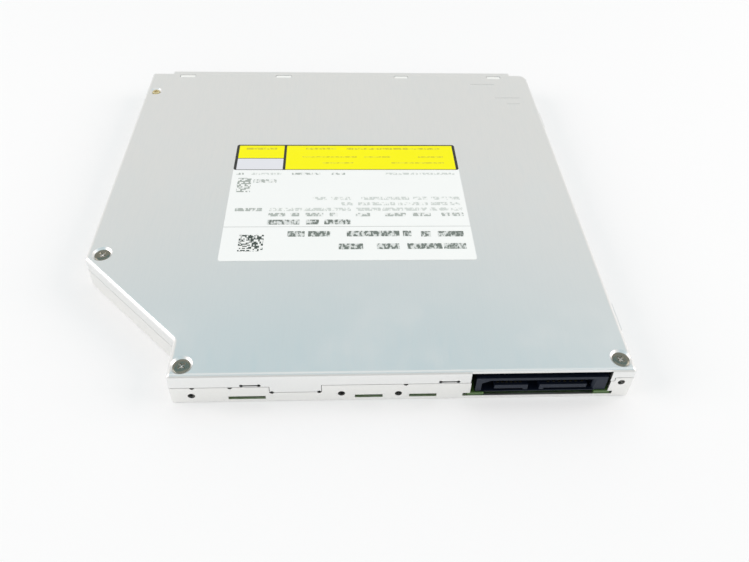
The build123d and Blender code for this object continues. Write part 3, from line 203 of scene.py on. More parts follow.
bpy.ops.mesh.primitive_plane_add(size=TABLE_SIZE, location=(0, 0, cad_box[0][2]))
table = bpy.context.object
table.name = "table"
paper = bpy.data.materials.new("table_white")
paper.use_nodes = True
paper_shader = paper.node_tree.nodes["Principled BSDF"]
paper_shader.inputs["Base Color"].default_value = (TABLE_TONE, TABLE_TONE, TABLE_TONE, 1)
paper_shader.inputs["Roughness"].default_value = 0.9
paper_shader.inputs["Specular IOR Level"].default_value = 0.1
paper_shader.inputs["Emission Color"].default_value = (1, 1, 1, 1)
paper_shader.inputs["Emission Strength"].default_value = TABLE_GLOW
table.data.materials.append(paper)
bpy.context.scene.view_settings.view_transform = "Standard"
print("Table at height", round(cad_box[0][2] / MM, 3), "mm")

# %% [markdown]
# ## Effects that several finishes share
#
# Sheet steel leaves the rolling mill with fine streaks, all one way, and the hands that fit the
# drive leave faint smudges. Moulded plastic and castings have a fine even grain. Each of these is
# a node group that is built once, and each material sets how strong and how fine it is.

# %% Groups for grain, smudges and moulded skin


def new_group(name, inputs, outputs):
    """Starts a shader node group with a place, number inputs and number outputs."""
    group = bpy.data.node_groups.new(name, "ShaderNodeTree")
    sockets = group.interface
    sockets.new_socket("Vector", in_out="INPUT", socket_type="NodeSocketVector")
    for socket, value in inputs:
        made = sockets.new_socket(socket, in_out="INPUT", socket_type="NodeSocketFloat")
        made.default_value = value
    for socket in outputs:
        sockets.new_socket(socket, in_out="OUTPUT", socket_type="NodeSocketFloat")
    start = add_node(group, "NodeGroupInput")
    end = add_node(group, "NodeGroupOutput")
    return group, start, end


def rolled_grain():
    """Fine streaks along Y, with slow clouds of tone across the sheet."""
    group, start, end = new_group(
        "rolled_grain", (("Across", 2600.0), ("Along", 160.0), ("Clouds", 28.0)), ("Grain", "Cloud")
    )
    stretch = add_node(group, "ShaderNodeCombineXYZ")
    group.links.new(start.outputs["Across"], stretch.inputs["X"])
    group.links.new(start.outputs["Along"], stretch.inputs["Y"])
    group.links.new(start.outputs["Across"], stretch.inputs["Z"])
    stretched = add_node(group, "ShaderNodeVectorMath", operation="MULTIPLY")
    group.links.new(start.outputs["Vector"], stretched.inputs[0])
    group.links.new(stretch.outputs["Vector"], stretched.inputs[1])
    streaks = add_node(group, "ShaderNodeTexNoise")
    streaks.inputs["Scale"].default_value = 1.0
    streaks.inputs["Detail"].default_value = 4.0
    group.links.new(stretched.outputs["Vector"], streaks.inputs["Vector"])
    group.links.new(streaks.outputs["Fac"], end.inputs["Grain"])
    clouds = add_node(group, "ShaderNodeTexNoise")
    clouds.inputs["Detail"].default_value = 3.0
    group.links.new(start.outputs["Vector"], clouds.inputs["Vector"])
    group.links.new(start.outputs["Clouds"], clouds.inputs["Scale"])
    group.links.new(clouds.outputs["Fac"], end.inputs["Cloud"])
    return group


def smudges():
    """Soft patches where hands touched the sheet, and tiny specks of dust."""
    group, start, end = new_group("smudges", (("Size", 60.0), ("Specks", 900.0)), ("Smudge", "Speck"))
    patches = add_node(group, "ShaderNodeTexNoise")
    patches.inputs["Detail"].default_value = 6.0
    patches.inputs["Roughness"].default_value = 0.65
    group.links.new(start.outputs["Vector"], patches.inputs["Vector"])
    group.links.new(start.outputs["Size"], patches.inputs["Scale"])
    kept = add_node(group, "ShaderNodeMapRange")
    kept.inputs["From Min"].default_value = 0.52
    kept.inputs["From Max"].default_value = 0.72
    group.links.new(patches.outputs["Fac"], kept.inputs["Value"])
    group.links.new(kept.outputs["Result"], end.inputs["Smudge"])
    dots = add_node(group, "ShaderNodeTexVoronoi")
    group.links.new(start.outputs["Vector"], dots.inputs["Vector"])
    group.links.new(start.outputs["Specks"], dots.inputs["Scale"])
    small = add_node(group, "ShaderNodeMapRange")
    small.inputs["From Min"].default_value = 0.10
    small.inputs["From Max"].default_value = 0.03
    group.links.new(dots.outputs["Distance"], small.inputs["Value"])
    group.links.new(small.outputs["Result"], end.inputs["Speck"])
    return group


def moulded_skin():
    """The even fine grain of a mould or die, with a slow drift of tone."""
    group, start, end = new_group(
        "moulded_skin", (("Fineness", 5000.0), ("Drift", 90.0)), ("Grain", "Tone")
    )
    for socket, output, detail in (("Fineness", "Grain", 2.0), ("Drift", "Tone", 3.0)):
        noise = add_node(group, "ShaderNodeTexNoise")
        noise.inputs["Detail"].default_value = detail
        group.links.new(start.outputs["Vector"], noise.inputs["Vector"])
        group.links.new(start.outputs[socket], noise.inputs["Scale"])
        group.links.new(noise.outputs["Fac"], end.inputs[output])
    return group


ROLLED_GRAIN = rolled_grain()
SMUDGES = smudges()
MOULDED_SKIN = moulded_skin()
print("Node groups:", [group.name for group in bpy.data.node_groups])

# %% [markdown]
# ## Steel sheet
#
# The cover and case are folded from thin rolled steel with a satin finish. The base colour drifts
# slowly between two greys, the grain sets the roughness and a very shallow bump, and smudges make
# it a little duller. The same recipe with other greys serves the inner chassis.

# %% Helpers for materials


def new_material(name, roughness, metallic=0.0):
    """Starts a material whose pattern reads Object coordinates, in metres."""
    material = bpy.data.materials.new(name)
    material.use_nodes = True
    tree = material.node_tree
    shader = tree.nodes["Principled BSDF"]
    shader.inputs["Roughness"].default_value = roughness
    shader.inputs["Metallic"].default_value = metallic
    place = add_node(tree, "ShaderNodeTexCoord")
    return material, tree, shader, place.outputs["Object"]


def use_group(tree, group, place, **values):
    """Puts a shared effect in a material, with this material's own values."""
    node = add_node(tree, "ShaderNodeGroup", node_tree=group)
    tree.links.new(place, node.inputs["Vector"])
    for socket, value in values.items():
        node.inputs[socket].default_value = value
    return node


def two_tones(tree, mask, first, second, into):
    """Mixes a colour or an output with a second colour by a mask, and feeds the result on."""
    mix = add_node(tree, "ShaderNodeMix", data_type="RGBA")
    if isinstance(first, tuple):
        mix.inputs["A"].default_value = (*first, 1)
    else:
        tree.links.new(first, mix.inputs["A"])
    mix.inputs["B"].default_value = (*second, 1)
    tree.links.new(mask, mix.inputs["Factor"])
    tree.links.new(mix.outputs["Result"], into)


def between(tree, value, low, high, into, from_low=0.3, from_high=0.7):
    """Spreads a pattern's value between two ends and feeds it on."""
    spread = add_node(tree, "ShaderNodeMapRange")
    spread.inputs["From Min"].default_value = from_low
    spread.inputs["From Max"].default_value = from_high
    spread.inputs["To Min"].default_value = low
    spread.inputs["To Max"].default_value = high
    tree.links.new(value, spread.inputs["Value"])
    tree.links.new(spread.outputs["Result"], into)


def add_bump(tree, shader, height, depth, strength):
    """Turns a pattern into a shallow relief of a depth in metres."""
    bump = add_node(tree, "ShaderNodeBump")
    bump.inputs["Strength"].default_value = strength
    bump.inputs["Distance"].default_value = depth
    tree.links.new(height, bump.inputs["Height"])
    tree.links.new(bump.outputs["Normal"], shader.inputs["Normal"])


def tint_gleam(material, tint, level):
    """Gives a material's reflection a colour and a strength."""
    shader = material.node_tree.nodes["Principled BSDF"]
    shader.inputs["Specular Tint"].default_value = (*tint, 1)
    shader.inputs["Specular IOR Level"].default_value = level


# %% Rolled steel


def rolled_steel(name, light, dark, satin=(0.32, 0.38), across=2600.0, relief=0.03):
    """Satin rolled sheet, from a light and a dark grey."""
    material, tree, shader, place = new_material(name, satin[0], metallic=1.0)
    grain = use_group(tree, ROLLED_GRAIN, place, Across=across)
    marks = use_group(tree, SMUDGES, place)
    streaked = add_node(tree, "ShaderNodeMix", data_type="RGBA", blend_type="MULTIPLY")
    two_tones(tree, grain.outputs["Cloud"], dark, light, streaked.inputs["A"])
    streaked.inputs["B"].default_value = (0.80, 0.84, 0.88, 1)
    between(tree, grain.outputs["Grain"], 0.0, 0.09, streaked.inputs["Factor"], 0.42, 0.78)
    tree.links.new(streaked.outputs["Result"], shader.inputs["Base Color"])
    duller = add_node(tree, "ShaderNodeMath", operation="MULTIPLY_ADD")
    tree.links.new(marks.outputs["Smudge"], duller.inputs[0])
    duller.inputs[1].default_value = 0.06
    between(tree, grain.outputs["Grain"], satin[0], satin[1], duller.inputs[2])
    tree.links.new(duller.outputs["Value"], shader.inputs["Roughness"])
    add_bump(tree, shader, grain.outputs["Grain"], 0.01 * MM, relief)
    return material


COVER_STEEL = rolled_steel("cover_steel", (0.89, 0.89, 0.88), (0.86, 0.87, 0.86))
CASE_STEEL = rolled_steel("case_steel", (0.90, 0.90, 0.88), (0.87, 0.87, 0.85))
CHASSIS_STEEL = rolled_steel(
    "chassis_steel", (0.66, 0.66, 0.64), (0.55, 0.56, 0.56), (0.34, 0.50), 1400.0
)
print("Sheet finishes ready")

# %% [markdown]
# ## Turned and cast metal
#
# Pins, rods and screws are turned, so their marks run round them, and the motor and pickup bodies
# are cast, with a grain like fine sand. Both are small here, so a fine even noise with its own
# scale says enough: bright for turned steel, dark for the blackened screws, yellow for brass.

# %% Small metal parts


def small_metal(name, light, dark, roughness, fineness=6000.0, depth=0.004 * MM, strength=0.25):
    """Metal with a fine even grain in its colour, gloss and relief."""
    material, tree, shader, place = new_material(name, roughness, metallic=1.0)
    skin = use_group(tree, MOULDED_SKIN, place, Fineness=fineness)
    two_tones(tree, skin.outputs["Tone"], dark, light, shader.inputs["Base Color"])
    between(tree, skin.outputs["Grain"], roughness * 0.8, roughness * 1.25, shader.inputs["Roughness"])
    add_bump(tree, shader, skin.outputs["Grain"], depth, strength)
    return material


FITTINGS_STEEL = small_metal("fittings_steel", (0.66, 0.66, 0.64), (0.52, 0.52, 0.51), 0.28)
SCREW_STEEL = small_metal("screw_steel", (0.28, 0.28, 0.23), (0.18, 0.18, 0.15), 0.24)
BRASS_SCREW = small_metal("brass_screw", (0.80, 0.70, 0.42), (0.62, 0.52, 0.28), 0.30)
CONTACT_GOLD = small_metal("contact_gold", (0.86, 0.66, 0.28), (0.74, 0.54, 0.22), 0.22)
DIE_CAST = small_metal(
    "die_cast", (0.62, 0.63, 0.64), (0.50, 0.51, 0.52), 0.42, 3000.0, 0.02 * MM, 0.4
)
print("Small metal finishes ready")

# %% [markdown]
# ## Copper windings
#
# The motor's coils are enamelled wire wound on steel teeth. At this size a band pattern that runs
# up each coil reads as wire, with a clear coat over it for the enamel.

# %% Copper


def wound_copper():
    """Bands of thin enamelled wire, stacked up each coil."""
    material, tree, shader, place = new_material("wound_copper", 0.3, metallic=1.0)
    wire = add_node(tree, "ShaderNodeTexWave", bands_direction="Z")
    wire.inputs["Scale"].default_value = 1500.0
    wire.inputs["Distortion"].default_value = 0.6
    tree.links.new(place, wire.inputs["Vector"])
    shadow, copper = (0.30, 0.12, 0.05), (0.80, 0.40, 0.20)
    two_tones(tree, wire.outputs["Fac"], shadow, copper, shader.inputs["Base Color"])
    add_bump(tree, shader, wire.outputs["Fac"], 0.03 * MM, 0.6)
    shader.inputs["Coat Weight"].default_value = 0.5
    return material


COPPER = wound_copper()
print("Copper ready")

# %% [markdown]
# ## Plastics and rubber
#
# The disc guides, sliders, gears and connector are moulded. Their surfaces have a fine grain from
# the mould, slightly uneven gloss, and a small drift of tone. One function makes them all, and the
# rubber dampers and roller tyres use it with a duller, coarser skin.

# %% Moulded plastic


def moulded(name, light, dark, gloss=(0.38, 0.52), fineness=4000.0, depth=0.01 * MM):
    """Moulded plastic or rubber, from two close tones."""
    material, tree, shader, place = new_material(name, gloss[0])
    skin = use_group(tree, MOULDED_SKIN, place, Fineness=fineness)
    two_tones(tree, skin.outputs["Tone"], dark, light, shader.inputs["Base Color"])
    between(tree, skin.outputs["Grain"], gloss[0], gloss[1], shader.inputs["Roughness"])
    add_bump(tree, shader, skin.outputs["Grain"], depth, 0.35)
    return material


WHITE_PLASTIC = moulded("white_plastic", (0.93, 0.94, 0.91), (0.87, 0.88, 0.85))
BLACK_PLASTIC = moulded("black_plastic", (0.008, 0.011, 0.022), (0.005, 0.007, 0.014), (0.30, 0.45))
tint_gleam(BLACK_PLASTIC, (0.62, 0.76, 1.0), 0.36)
GREY_PLASTIC = moulded("grey_plastic", (0.14, 0.145, 0.155), (0.10, 0.105, 0.115))
CHIP_RESIN = moulded("chip_resin", (0.035, 0.035, 0.038), (0.020, 0.020, 0.023), (0.45, 0.62), 6000.0)
CERAMIC = moulded("ceramic", (0.40, 0.28, 0.17), (0.28, 0.19, 0.11), (0.30, 0.42), 5000.0)
RUBBER = moulded(
    "rubber", (0.030, 0.030, 0.030), (0.018, 0.018, 0.018), (0.65, 0.85), 2500.0, 0.03 * MM
)
print("Plastics ready")

# %% [markdown]
# ## Circuit board, film cable and lens
#
# A board is green lacquer over copper. The tracks lie under it as slightly raised, lighter lines.
# Very long, thin bricks give them well, because tracks run square to the board, and the joints
# stand in for the gaps. Small dots are the vias that join the layers. The film cable is amber with
# straight copper lines. The lens is clear, with the bluish gleam of its coating.

# %% Board


def board_lacquer():
    """Green lacquer with thin raised tracks, small vias and a glossy coat."""
    material, tree, shader, place = new_material("board_lacquer", 0.35)
    drift = use_group(tree, MOULDED_SKIN, place, Fineness=4000.0, Drift=220.0)
    tracks = add_node(tree, "ShaderNodeTexBrick", offset=0.31, squash=2.3, squash_frequency=5)
    tracks.inputs["Scale"].default_value = 300.0
    tracks.inputs["Brick Width"].default_value = 2.6
    tracks.inputs["Row Height"].default_value = 0.13
    tracks.inputs["Mortar Size"].default_value = 0.018
    tracks.inputs["Color1"].default_value = (0.064, 0.142, 0.030, 1)
    tracks.inputs["Color2"].default_value = (0.078, 0.166, 0.036, 1)
    tracks.inputs["Mortar"].default_value = (0.050, 0.116, 0.024, 1)
    tree.links.new(place, tracks.inputs["Vector"])
    vias = add_node(tree, "ShaderNodeTexVoronoi")
    vias.inputs["Scale"].default_value = 420.0
    tree.links.new(place, vias.inputs["Vector"])
    rings = add_node(tree, "ShaderNodeMapRange")
    rings.inputs["From Min"].default_value = 0.12
    rings.inputs["From Max"].default_value = 0.09
    tree.links.new(vias.outputs["Distance"], rings.inputs["Value"])
    lacquer, ring_green = tracks.outputs["Color"], (0.16, 0.26, 0.08)
    two_tones(tree, rings.outputs["Result"], lacquer, ring_green, shader.inputs["Base Color"])
    between(tree, drift.outputs["Tone"], 0.28, 0.42, shader.inputs["Roughness"])
    add_bump(tree, shader, tracks.outputs["Fac"], -0.02 * MM, 0.4)
    shader.inputs["Coat Weight"].default_value = 0.2
    return material


def flex_film():
    """Amber film with straight copper lines along its run."""
    material, tree, shader, place = new_material("flex_film", 0.3)
    lines = add_node(tree, "ShaderNodeTexWave", bands_direction="X")
    lines.inputs["Scale"].default_value = 420.0
    tree.links.new(place, lines.inputs["Vector"])
    amber, copper = (0.50, 0.21, 0.04), (0.72, 0.40, 0.12)
    two_tones(tree, lines.outputs["Fac"], amber, copper, shader.inputs["Base Color"])
    between(tree, lines.outputs["Fac"], 0.24, 0.36, shader.inputs["Roughness"])
    return material


def coated_glass():
    """Clear lens with a bluish coating whose tone drifts a little at random."""
    material, tree, shader, place = new_material("coated_glass", 0.03)
    skin = use_group(tree, MOULDED_SKIN, place, Fineness=800.0)
    blue, pale = (0.55, 0.68, 0.95), (0.75, 0.85, 1.00)
    two_tones(tree, skin.outputs["Tone"], blue, pale, shader.inputs["Base Color"])
    shader.inputs["Transmission Weight"].default_value = 0.85
    shader.inputs["IOR"].default_value = 1.52
    return material


BOARD = board_lacquer()
FLEX_FILM = flex_film()
LENS_GLASS = coated_glass()
print("Board, cable and lens ready")

# %% [markdown]
# ## Label film
#
# The label is a smooth white film. It isn't quite flat where it is stuck down, so a broad shallow
# bump keeps its gloss from being even.

# %% Label film


def label_film(name, light, dark, gloss=(0.36, 0.46)):
    """Satin film or ink, lying a little unevenly on the sheet."""
    material, tree, shader, place = new_material(name, gloss[0])
    skin = use_group(tree, MOULDED_SKIN, place, Fineness=300.0, Drift=45.0)
    two_tones(tree, skin.outputs["Tone"], dark, light, shader.inputs["Base Color"])
    between(tree, skin.outputs["Tone"], gloss[0], gloss[1], shader.inputs["Roughness"])
    add_bump(tree, shader, skin.outputs["Grain"], 0.02 * MM, 0.15)
    return material


LABEL = label_film("label_film", (0.93, 0.95, 0.93), (0.89, 0.91, 0.90))
print("Label film ready")

# %% [markdown]
# ## Dressing the CAD pieces
#
# The record says which nodes wear which finish, by slot. Each slot gets its material here.

# %% Give each node its finish
FINISHES = {
    "cover_steel": COVER_STEEL,
    "case_steel": CASE_STEEL,
    "fittings_steel": FITTINGS_STEEL,
    "screw_steel": SCREW_STEEL,
    "brass_screw": BRASS_SCREW,
    "label": LABEL,
    "white_plastic": WHITE_PLASTIC,
    "black_plastic": BLACK_PLASTIC,
    "grey_plastic": GREY_PLASTIC,
    "board": BOARD,
    "chips": CHIP_RESIN,
    "ceramic": CERAMIC,
    "contact_gold": CONTACT_GOLD,
    "flex_film": FLEX_FILM,
    "die_cast": DIE_CAST,
    "chassis_steel": CHASSIS_STEEL,
    "rubber": RUBBER,
    "copper": COPPER,
    "lens_glass": LENS_GLASS,
}
for node in nodes.values():
    for place, old in enumerate(list(node.data.materials)):
        node.data.materials[place] = FINISHES[old.name.split(".")[0]]
print("Nodes dressed:", len(nodes))

# %% [markdown]
# ## Screws and threads
#
# The CAD screws are plain: a cone, a shank and a straight cross. Real ones have a slightly domed
# head with a rounded rim, a cross recess whose walls lean inwards, and a rolled thread. Small bars
# of bright steel lie in the middle of the recess as a painted highlight, so that it glints in the
# lamps.
#
# A turned shape starts as a cylinder, and its top face is extruded and scaled step by step. A
# thread is one small profile that a Screw modifier winds round the axis.

# %% Helpers for turned shapes and threads


def finish_piece(piece, material, body="root"):
    """Gives a finished piece its material and slot, and lets it ride its CAD body."""
    piece.data.materials.clear()
    piece.data.materials.append(material)
    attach(piece, body)


def join_pieces(name, pieces):
    """Joins separate shapes of one finish into one piece."""
    bpy.ops.object.select_all(action="DESELECT")
    for piece in pieces:
        piece.select_set(True)
    bpy.context.view_layer.objects.active = pieces[0]
    bpy.ops.object.join()
    pieces[0].name = name
    return pieces[0]


def move_into_place(piece, matrix):
    """Moves a finished shape by a matrix and leaves its origin at the world's origin."""
    bpy.ops.object.select_all(action="DESELECT")
    piece.select_set(True)
    bpy.context.view_layer.objects.active = piece
    piece.matrix_world = matrix
    bpy.ops.object.transform_apply(location=True, rotation=True, scale=True)


def select_faces(piece, wanted):
    """Goes into edit mode with the faces chosen for which wanted(face) is true."""
    for part in (piece.data.vertices, piece.data.edges):
        for item in part:
            item.select = False
    for face in piece.data.polygons:
        face.select = wanted(face)
    bpy.ops.object.mode_set(mode="EDIT")
    bpy.ops.mesh.select_mode(type="FACE")


def turned_shape(name, steps, sides=40):
    """A closed shape about Z, from steps of a radius and a height in mm, the lowest first."""
    bpy.ops.object.select_all(action="DESELECT")
    (first, low), (second, high) = steps[:2]
    middle = (0, 0, (low + high) / 2 * MM)
    bpy.ops.mesh.primitive_cylinder_add(
        vertices=sides, radius=first * MM, depth=(high - low) * MM, location=middle
    )
    shape = bpy.context.object
    shape.name = name
    bpy.ops.object.transform_apply(location=True, rotation=False, scale=False)
    select_faces(shape, lambda face: face.normal.z > 0.9)
    radius, height = first, high
    for next_radius, next_height in [(second, high), *steps[2:]]:
        if next_height != height:
            bpy.ops.mesh.extrude_region_move(
                TRANSFORM_OT_translate={"value": (0, 0, (next_height - height) * MM)}
            )
        share = next_radius / radius
        bpy.ops.transform.resize(value=(share, share, 1), center_override=(0, 0, next_height * MM))
        radius, height = next_radius, next_height
    bpy.ops.object.mode_set(mode="OBJECT")
    return shape


def wound_ridge(name, radii, foot, crest, pitch, turns, start, steps=20):
    """A right-handed ridge about Z, from its root and crest radius and its widths there, in mm."""
    bpy.ops.object.select_all(action="DESELECT")
    middle = (sum(radii) / 2 * MM, 0, start * MM)
    bpy.ops.mesh.primitive_plane_add(size=1, location=middle, rotation=(math.pi / 2, 0, 0))
    ridge = bpy.context.object
    ridge.name = name
    ridge.scale = ((radii[1] - radii[0]) * MM, foot * MM, 1)
    bpy.ops.object.transform_apply(location=True, rotation=True, scale=True)
    outer = [vertex.co.x > middle[0] for vertex in ridge.data.vertices]
    for face in ridge.data.polygons:
        face.select = False
    for edge in ridge.data.edges:
        edge.select = all(outer[index] for index in edge.vertices)
    for vertex, chosen in zip(ridge.data.vertices, outer):
        vertex.select = chosen
    bpy.ops.object.mode_set(mode="EDIT")
    bpy.ops.transform.resize(value=(1, 1, crest / foot), center_override=middle)
    bpy.ops.mesh.select_all(action="SELECT")
    bpy.ops.mesh.delete(type="ONLY_FACE")
    bpy.ops.object.mode_set(mode="OBJECT")
    wind = ridge.modifiers.new("wind", "SCREW")
    wind.screw_offset = pitch * MM
    wind.iterations = turns
    wind.steps = steps
    wind.render_steps = steps
    bpy.ops.object.modifier_apply(modifier=wind.name)
    bpy.ops.object.mode_set(mode="EDIT")
    bpy.ops.mesh.select_all(action="SELECT")
    bpy.ops.mesh.remove_doubles(threshold=0.0001 * MM)
    bpy.ops.mesh.fill_holes(sides=4)
    bpy.ops.mesh.normals_make_consistent(inside=False)
    bpy.ops.object.mode_set(mode="OBJECT")
    return ridge


def smooth_sides():
    """Shades the active piece smooth, except over its sharp edges."""
    bpy.ops.object.shade_smooth_by_angle(angle=math.radians(35))


# %% Cover screws
SCREW_PLACES = ((-35.2, -60.4, 42), (-60.05, -26.0, 50), (60.9, -60.1, 44))
SCREW_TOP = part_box("cover_screws")[1].z / MM - 0.05
SCREW_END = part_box("cover_screws")[0].z / MM
HEAD_RADIUS = 1.96
SEAT_RADIUS = 1.05
SHANK = 0.82
RECESS_REACH = 1.02
RECESS_WIDTH = 0.72
RECESS_DEPTH = 0.36
# Bars of bright steel in the recess floor: a painted highlight that gives the recess its glints.
GLINT_BAR_REACH = 0.8
GLINT_BAR_WIDTH = 0.5
GLINT_BAR_HEIGHT = 0.2
GLINT_BAR_LOW = SCREW_TOP - RECESS_DEPTH + 0.01
SCREW_PITCH = 0.4
SCREW_TURNS = 5


def leaning_bar(size, low, upper_end, share):
    """A bar along X from its length, width and height in mm, with one end face scaled down."""
    bpy.ops.object.select_all(action="DESELECT")
    bpy.ops.mesh.primitive_cube_add(size=1, location=(0, 0, (low + size[2] / 2) * MM))
    bar = bpy.context.object
    bar.scale = tuple(length * MM for length in size)
    bpy.ops.object.transform_apply(location=True, rotation=False, scale=True)
    select_faces(bar, lambda face: (face.normal.z if upper_end else -face.normal.z) > 0.9)
    pivot = (0, 0, (low + size[2] * upper_end) * MM)
    bpy.ops.transform.resize(value=(*share, 1), center_override=pivot)
    bpy.ops.object.mode_set(mode="OBJECT")
    return bar


def cut_cross(head, top):
    """Cuts a cross recess whose walls lean inwards into a head's top."""
    for turn_about in (0, math.pi / 2):
        size = (2 * RECESS_REACH, RECESS_WIDTH, RECESS_DEPTH + 0.1)
        cutter = leaning_bar(size, top - RECESS_DEPTH, False, (0.60, 0.22))
        cutter.rotation_euler.z = turn_about
        bpy.ops.object.select_all(action="DESELECT")
        head.select_set(True)
        bpy.context.view_layer.objects.active = head
        cut = head.modifiers.new("recess", "BOOLEAN")
        cut.object = cutter
        cut.solver = "EXACT"
        bpy.ops.object.modifier_apply(modifier=cut.name)
        bpy.data.objects.remove(cutter)


def upright_at(x, y, degrees):
    """The matrix that sets a shape on a place in mm and turns it about Z."""
    return Matrix.Translation((x * MM, y * MM, 0)) @ Matrix.Rotation(math.radians(degrees), 4, "Z")


screws = []
glint_bars = []
for x, y, turned in SCREW_PLACES:
    screw = turned_shape(
        "screw",
        (
            (SHANK * 0.7, SCREW_END),
            (SHANK, SCREW_END + 0.25),
            (SHANK, SCREW_TOP - 0.95),
            (SEAT_RADIUS, SCREW_TOP - 0.85),
            (HEAD_RADIUS - 0.03, SCREW_TOP - 0.27),
            (HEAD_RADIUS, SCREW_TOP - 0.23),
            (HEAD_RADIUS, SCREW_TOP - 0.19),
            (HEAD_RADIUS - 0.06, SCREW_TOP - 0.13),
            (HEAD_RADIUS - 0.25, SCREW_TOP - 0.06),
            (HEAD_RADIUS - 0.55, SCREW_TOP - 0.01),
            (RECESS_REACH + 0.1, SCREW_TOP),
        ),
    )
    cut_cross(screw, SCREW_TOP)
    thread = wound_ridge(
        "thread",
        radii=(0.78, 1.0),
        foot=0.34,
        crest=0.08,
        pitch=SCREW_PITCH,
        turns=SCREW_TURNS,
        start=SCREW_END + SCREW_PITCH,
    )
    screw = join_pieces("screw", [screw, thread])
    smooth_sides()
    move_into_place(screw, upright_at(x, y, turned))
    screws.append(screw)
    # Two crossed bars of bright steel in each recess, a painted highlight for its glints.
    for quarter in (0, 90):
        glint_bar = leaning_bar((2 * GLINT_BAR_REACH, GLINT_BAR_WIDTH, GLINT_BAR_HEIGHT), GLINT_BAR_LOW, True, (0.8, 0.2))
        move_into_place(glint_bar, upright_at(x, y, turned + quarter))
        glint_bars.append(glint_bar)
screws = join_pieces("cover_screws_threaded", screws)
finish_piece(screws, SCREW_STEEL)
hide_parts("cover_screws")
# The bright bars are a painted highlight that gives the recesses their glints.
finish_piece(join_pieces("recess_glint_bars", glint_bars), FITTINGS_STEEL)
print("Cover screws:", len(SCREW_PLACES), "with", len(screws.data.polygons), "faces")

# %% [markdown]
# The feed screw that moves the pickup has a coarse thread with two starts, which travels 3 mm in
# one turn. The loading worm has a single thread whose pitch is that of the gear's teeth. It starts
# where the gear has a gap, so the two mesh, and it turns about the axis of its joint.

# %% Feed screw and worm
joints = {joint["name"]: joint for joint in frame["joints"]}


def axis_of(joint_name):
    """A joint's own frame, with Z along its axis and its origin on it."""
    joint = joints[joint_name]
    turned_to = Vector(joint["axis"]).to_track_quat("Z", "Y").to_matrix().to_4x4()
    return Matrix.Translation(Vector(joint["pos_m"])) @ turned_to


def stretch_along(node, axis, thicker_than):
    """The two ends along an axis, in mm, of the part of a node that is thicker than a radius."""
    into = axis.inverted()
    points = [into @ vertex.co / MM for vertex in node.data.vertices]
    heights = [point.z for point in points if math.hypot(point.x, point.y) > thicker_than]
    return min(heights), max(heights)


SHAFT = 0.5
FEED_LEAD = 3.0
FEED_CORE = 0.66
THREAD_INSET = 0.5
feed_axis = axis_of("feed_screw_turn")
feed_low, feed_high = stretch_along(nodes["feed_screw"], feed_axis, thicker_than=0.8)
shaft_low, shaft_high = stretch_along(nodes["feed_screw"], feed_axis, thicker_than=0.1)
feed_shapes = [
    turned_shape(
        "feed_shaft",
        (
            (SHAFT, shaft_low),
            (SHAFT, feed_low),
            (FEED_CORE, feed_low),
            (FEED_CORE, feed_high),
            (SHAFT, feed_high),
            (SHAFT, shaft_high),
        ),
        24,
    )
]
feed_turns = int((feed_high - feed_low - FEED_LEAD / 2 - 2 * THREAD_INSET) / FEED_LEAD)
for beginning in (THREAD_INSET, THREAD_INSET + FEED_LEAD / 2):
    thread = wound_ridge(
        "thread",
        radii=(0.6, 0.9),
        foot=0.75,
        crest=0.45,
        pitch=FEED_LEAD,
        turns=feed_turns,
        start=feed_low + beginning,
        steps=16,
    )
    feed_shapes.append(thread)
feed_screw = join_pieces("feed_screw_threaded", feed_shapes)
smooth_sides()
move_into_place(feed_screw, feed_axis)
finish_piece(feed_screw, FITTINGS_STEEL, "feed_screw")
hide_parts("feed_screw")
print("Feed screw turns:", feed_turns, "with", len(feed_screw.data.polygons), "faces")

GEAR_MODULE = 0.4
WORM_PITCH = GEAR_MODULE * math.pi
WORM_CORE = 0.9
WORM_BEVEL = 0.08
WORM_INSET = 0.4
WHEEL_GAP = Vector((46.4 * MM, 0, 0))
worm_axis = axis_of("worm_turn")
worm_low, worm_high = stretch_along(nodes["loading_worm"], worm_axis, thicker_than=0.8)
shaft_low, shaft_high = stretch_along(nodes["loading_worm"], worm_axis, thicker_than=0.1)
towards_wheel = worm_axis.to_3x3().inverted() @ Vector((0, -1, 0))
share_of_turn = math.atan2(towards_wheel.y, towards_wheel.x) / math.tau
gap_height = (worm_axis.inverted() @ (WHEEL_GAP + Vector((0, *worm_axis.translation.yz)))).z / MM
thread_start = gap_height + WORM_PITCH * (0.5 - share_of_turn)
thread_start -= WORM_PITCH * math.floor((thread_start - worm_low - WORM_INSET) / WORM_PITCH)
worm_turns = int((worm_high - thread_start - WORM_INSET) / WORM_PITCH)
worm_shapes = [
    turned_shape(
        "worm_shaft",
        (
            (SHAFT, shaft_low),
            (SHAFT, worm_low),
            (WORM_CORE - WORM_BEVEL, worm_low),
            (WORM_CORE, worm_low + WORM_BEVEL),
            (WORM_CORE, worm_high - WORM_BEVEL),
            (WORM_CORE - WORM_BEVEL, worm_high),
            (SHAFT, worm_high),
            (SHAFT, shaft_high),
        ),
        24,
    ),
    wound_ridge(
        "thread",
        radii=(0.85, 1.8),
        foot=0.72,
        crest=0.25,
        pitch=WORM_PITCH,
        turns=worm_turns,
        start=thread_start,
        steps=24,
    ),
]
worm = join_pieces("loading_worm_threaded", worm_shapes)
smooth_sides()
move_into_place(worm, worm_axis)
finish_piece(worm, CONTACT_GOLD, "worm")
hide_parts("loading_worm")
print("Worm turns:", worm_turns, "with", len(worm.data.polygons), "faces")

# %% [markdown]
# ## Print on the label
#
# Ink is a layer that can be felt, so each printed field is a very thin plate on the film: a box
# is squeezed to size and its upright edges are rounded. The band is a black field that carries the
# yellow and grey cells, and the lines of small print are plain bars.

# %% Helpers for print
INK = 0.012 * MM


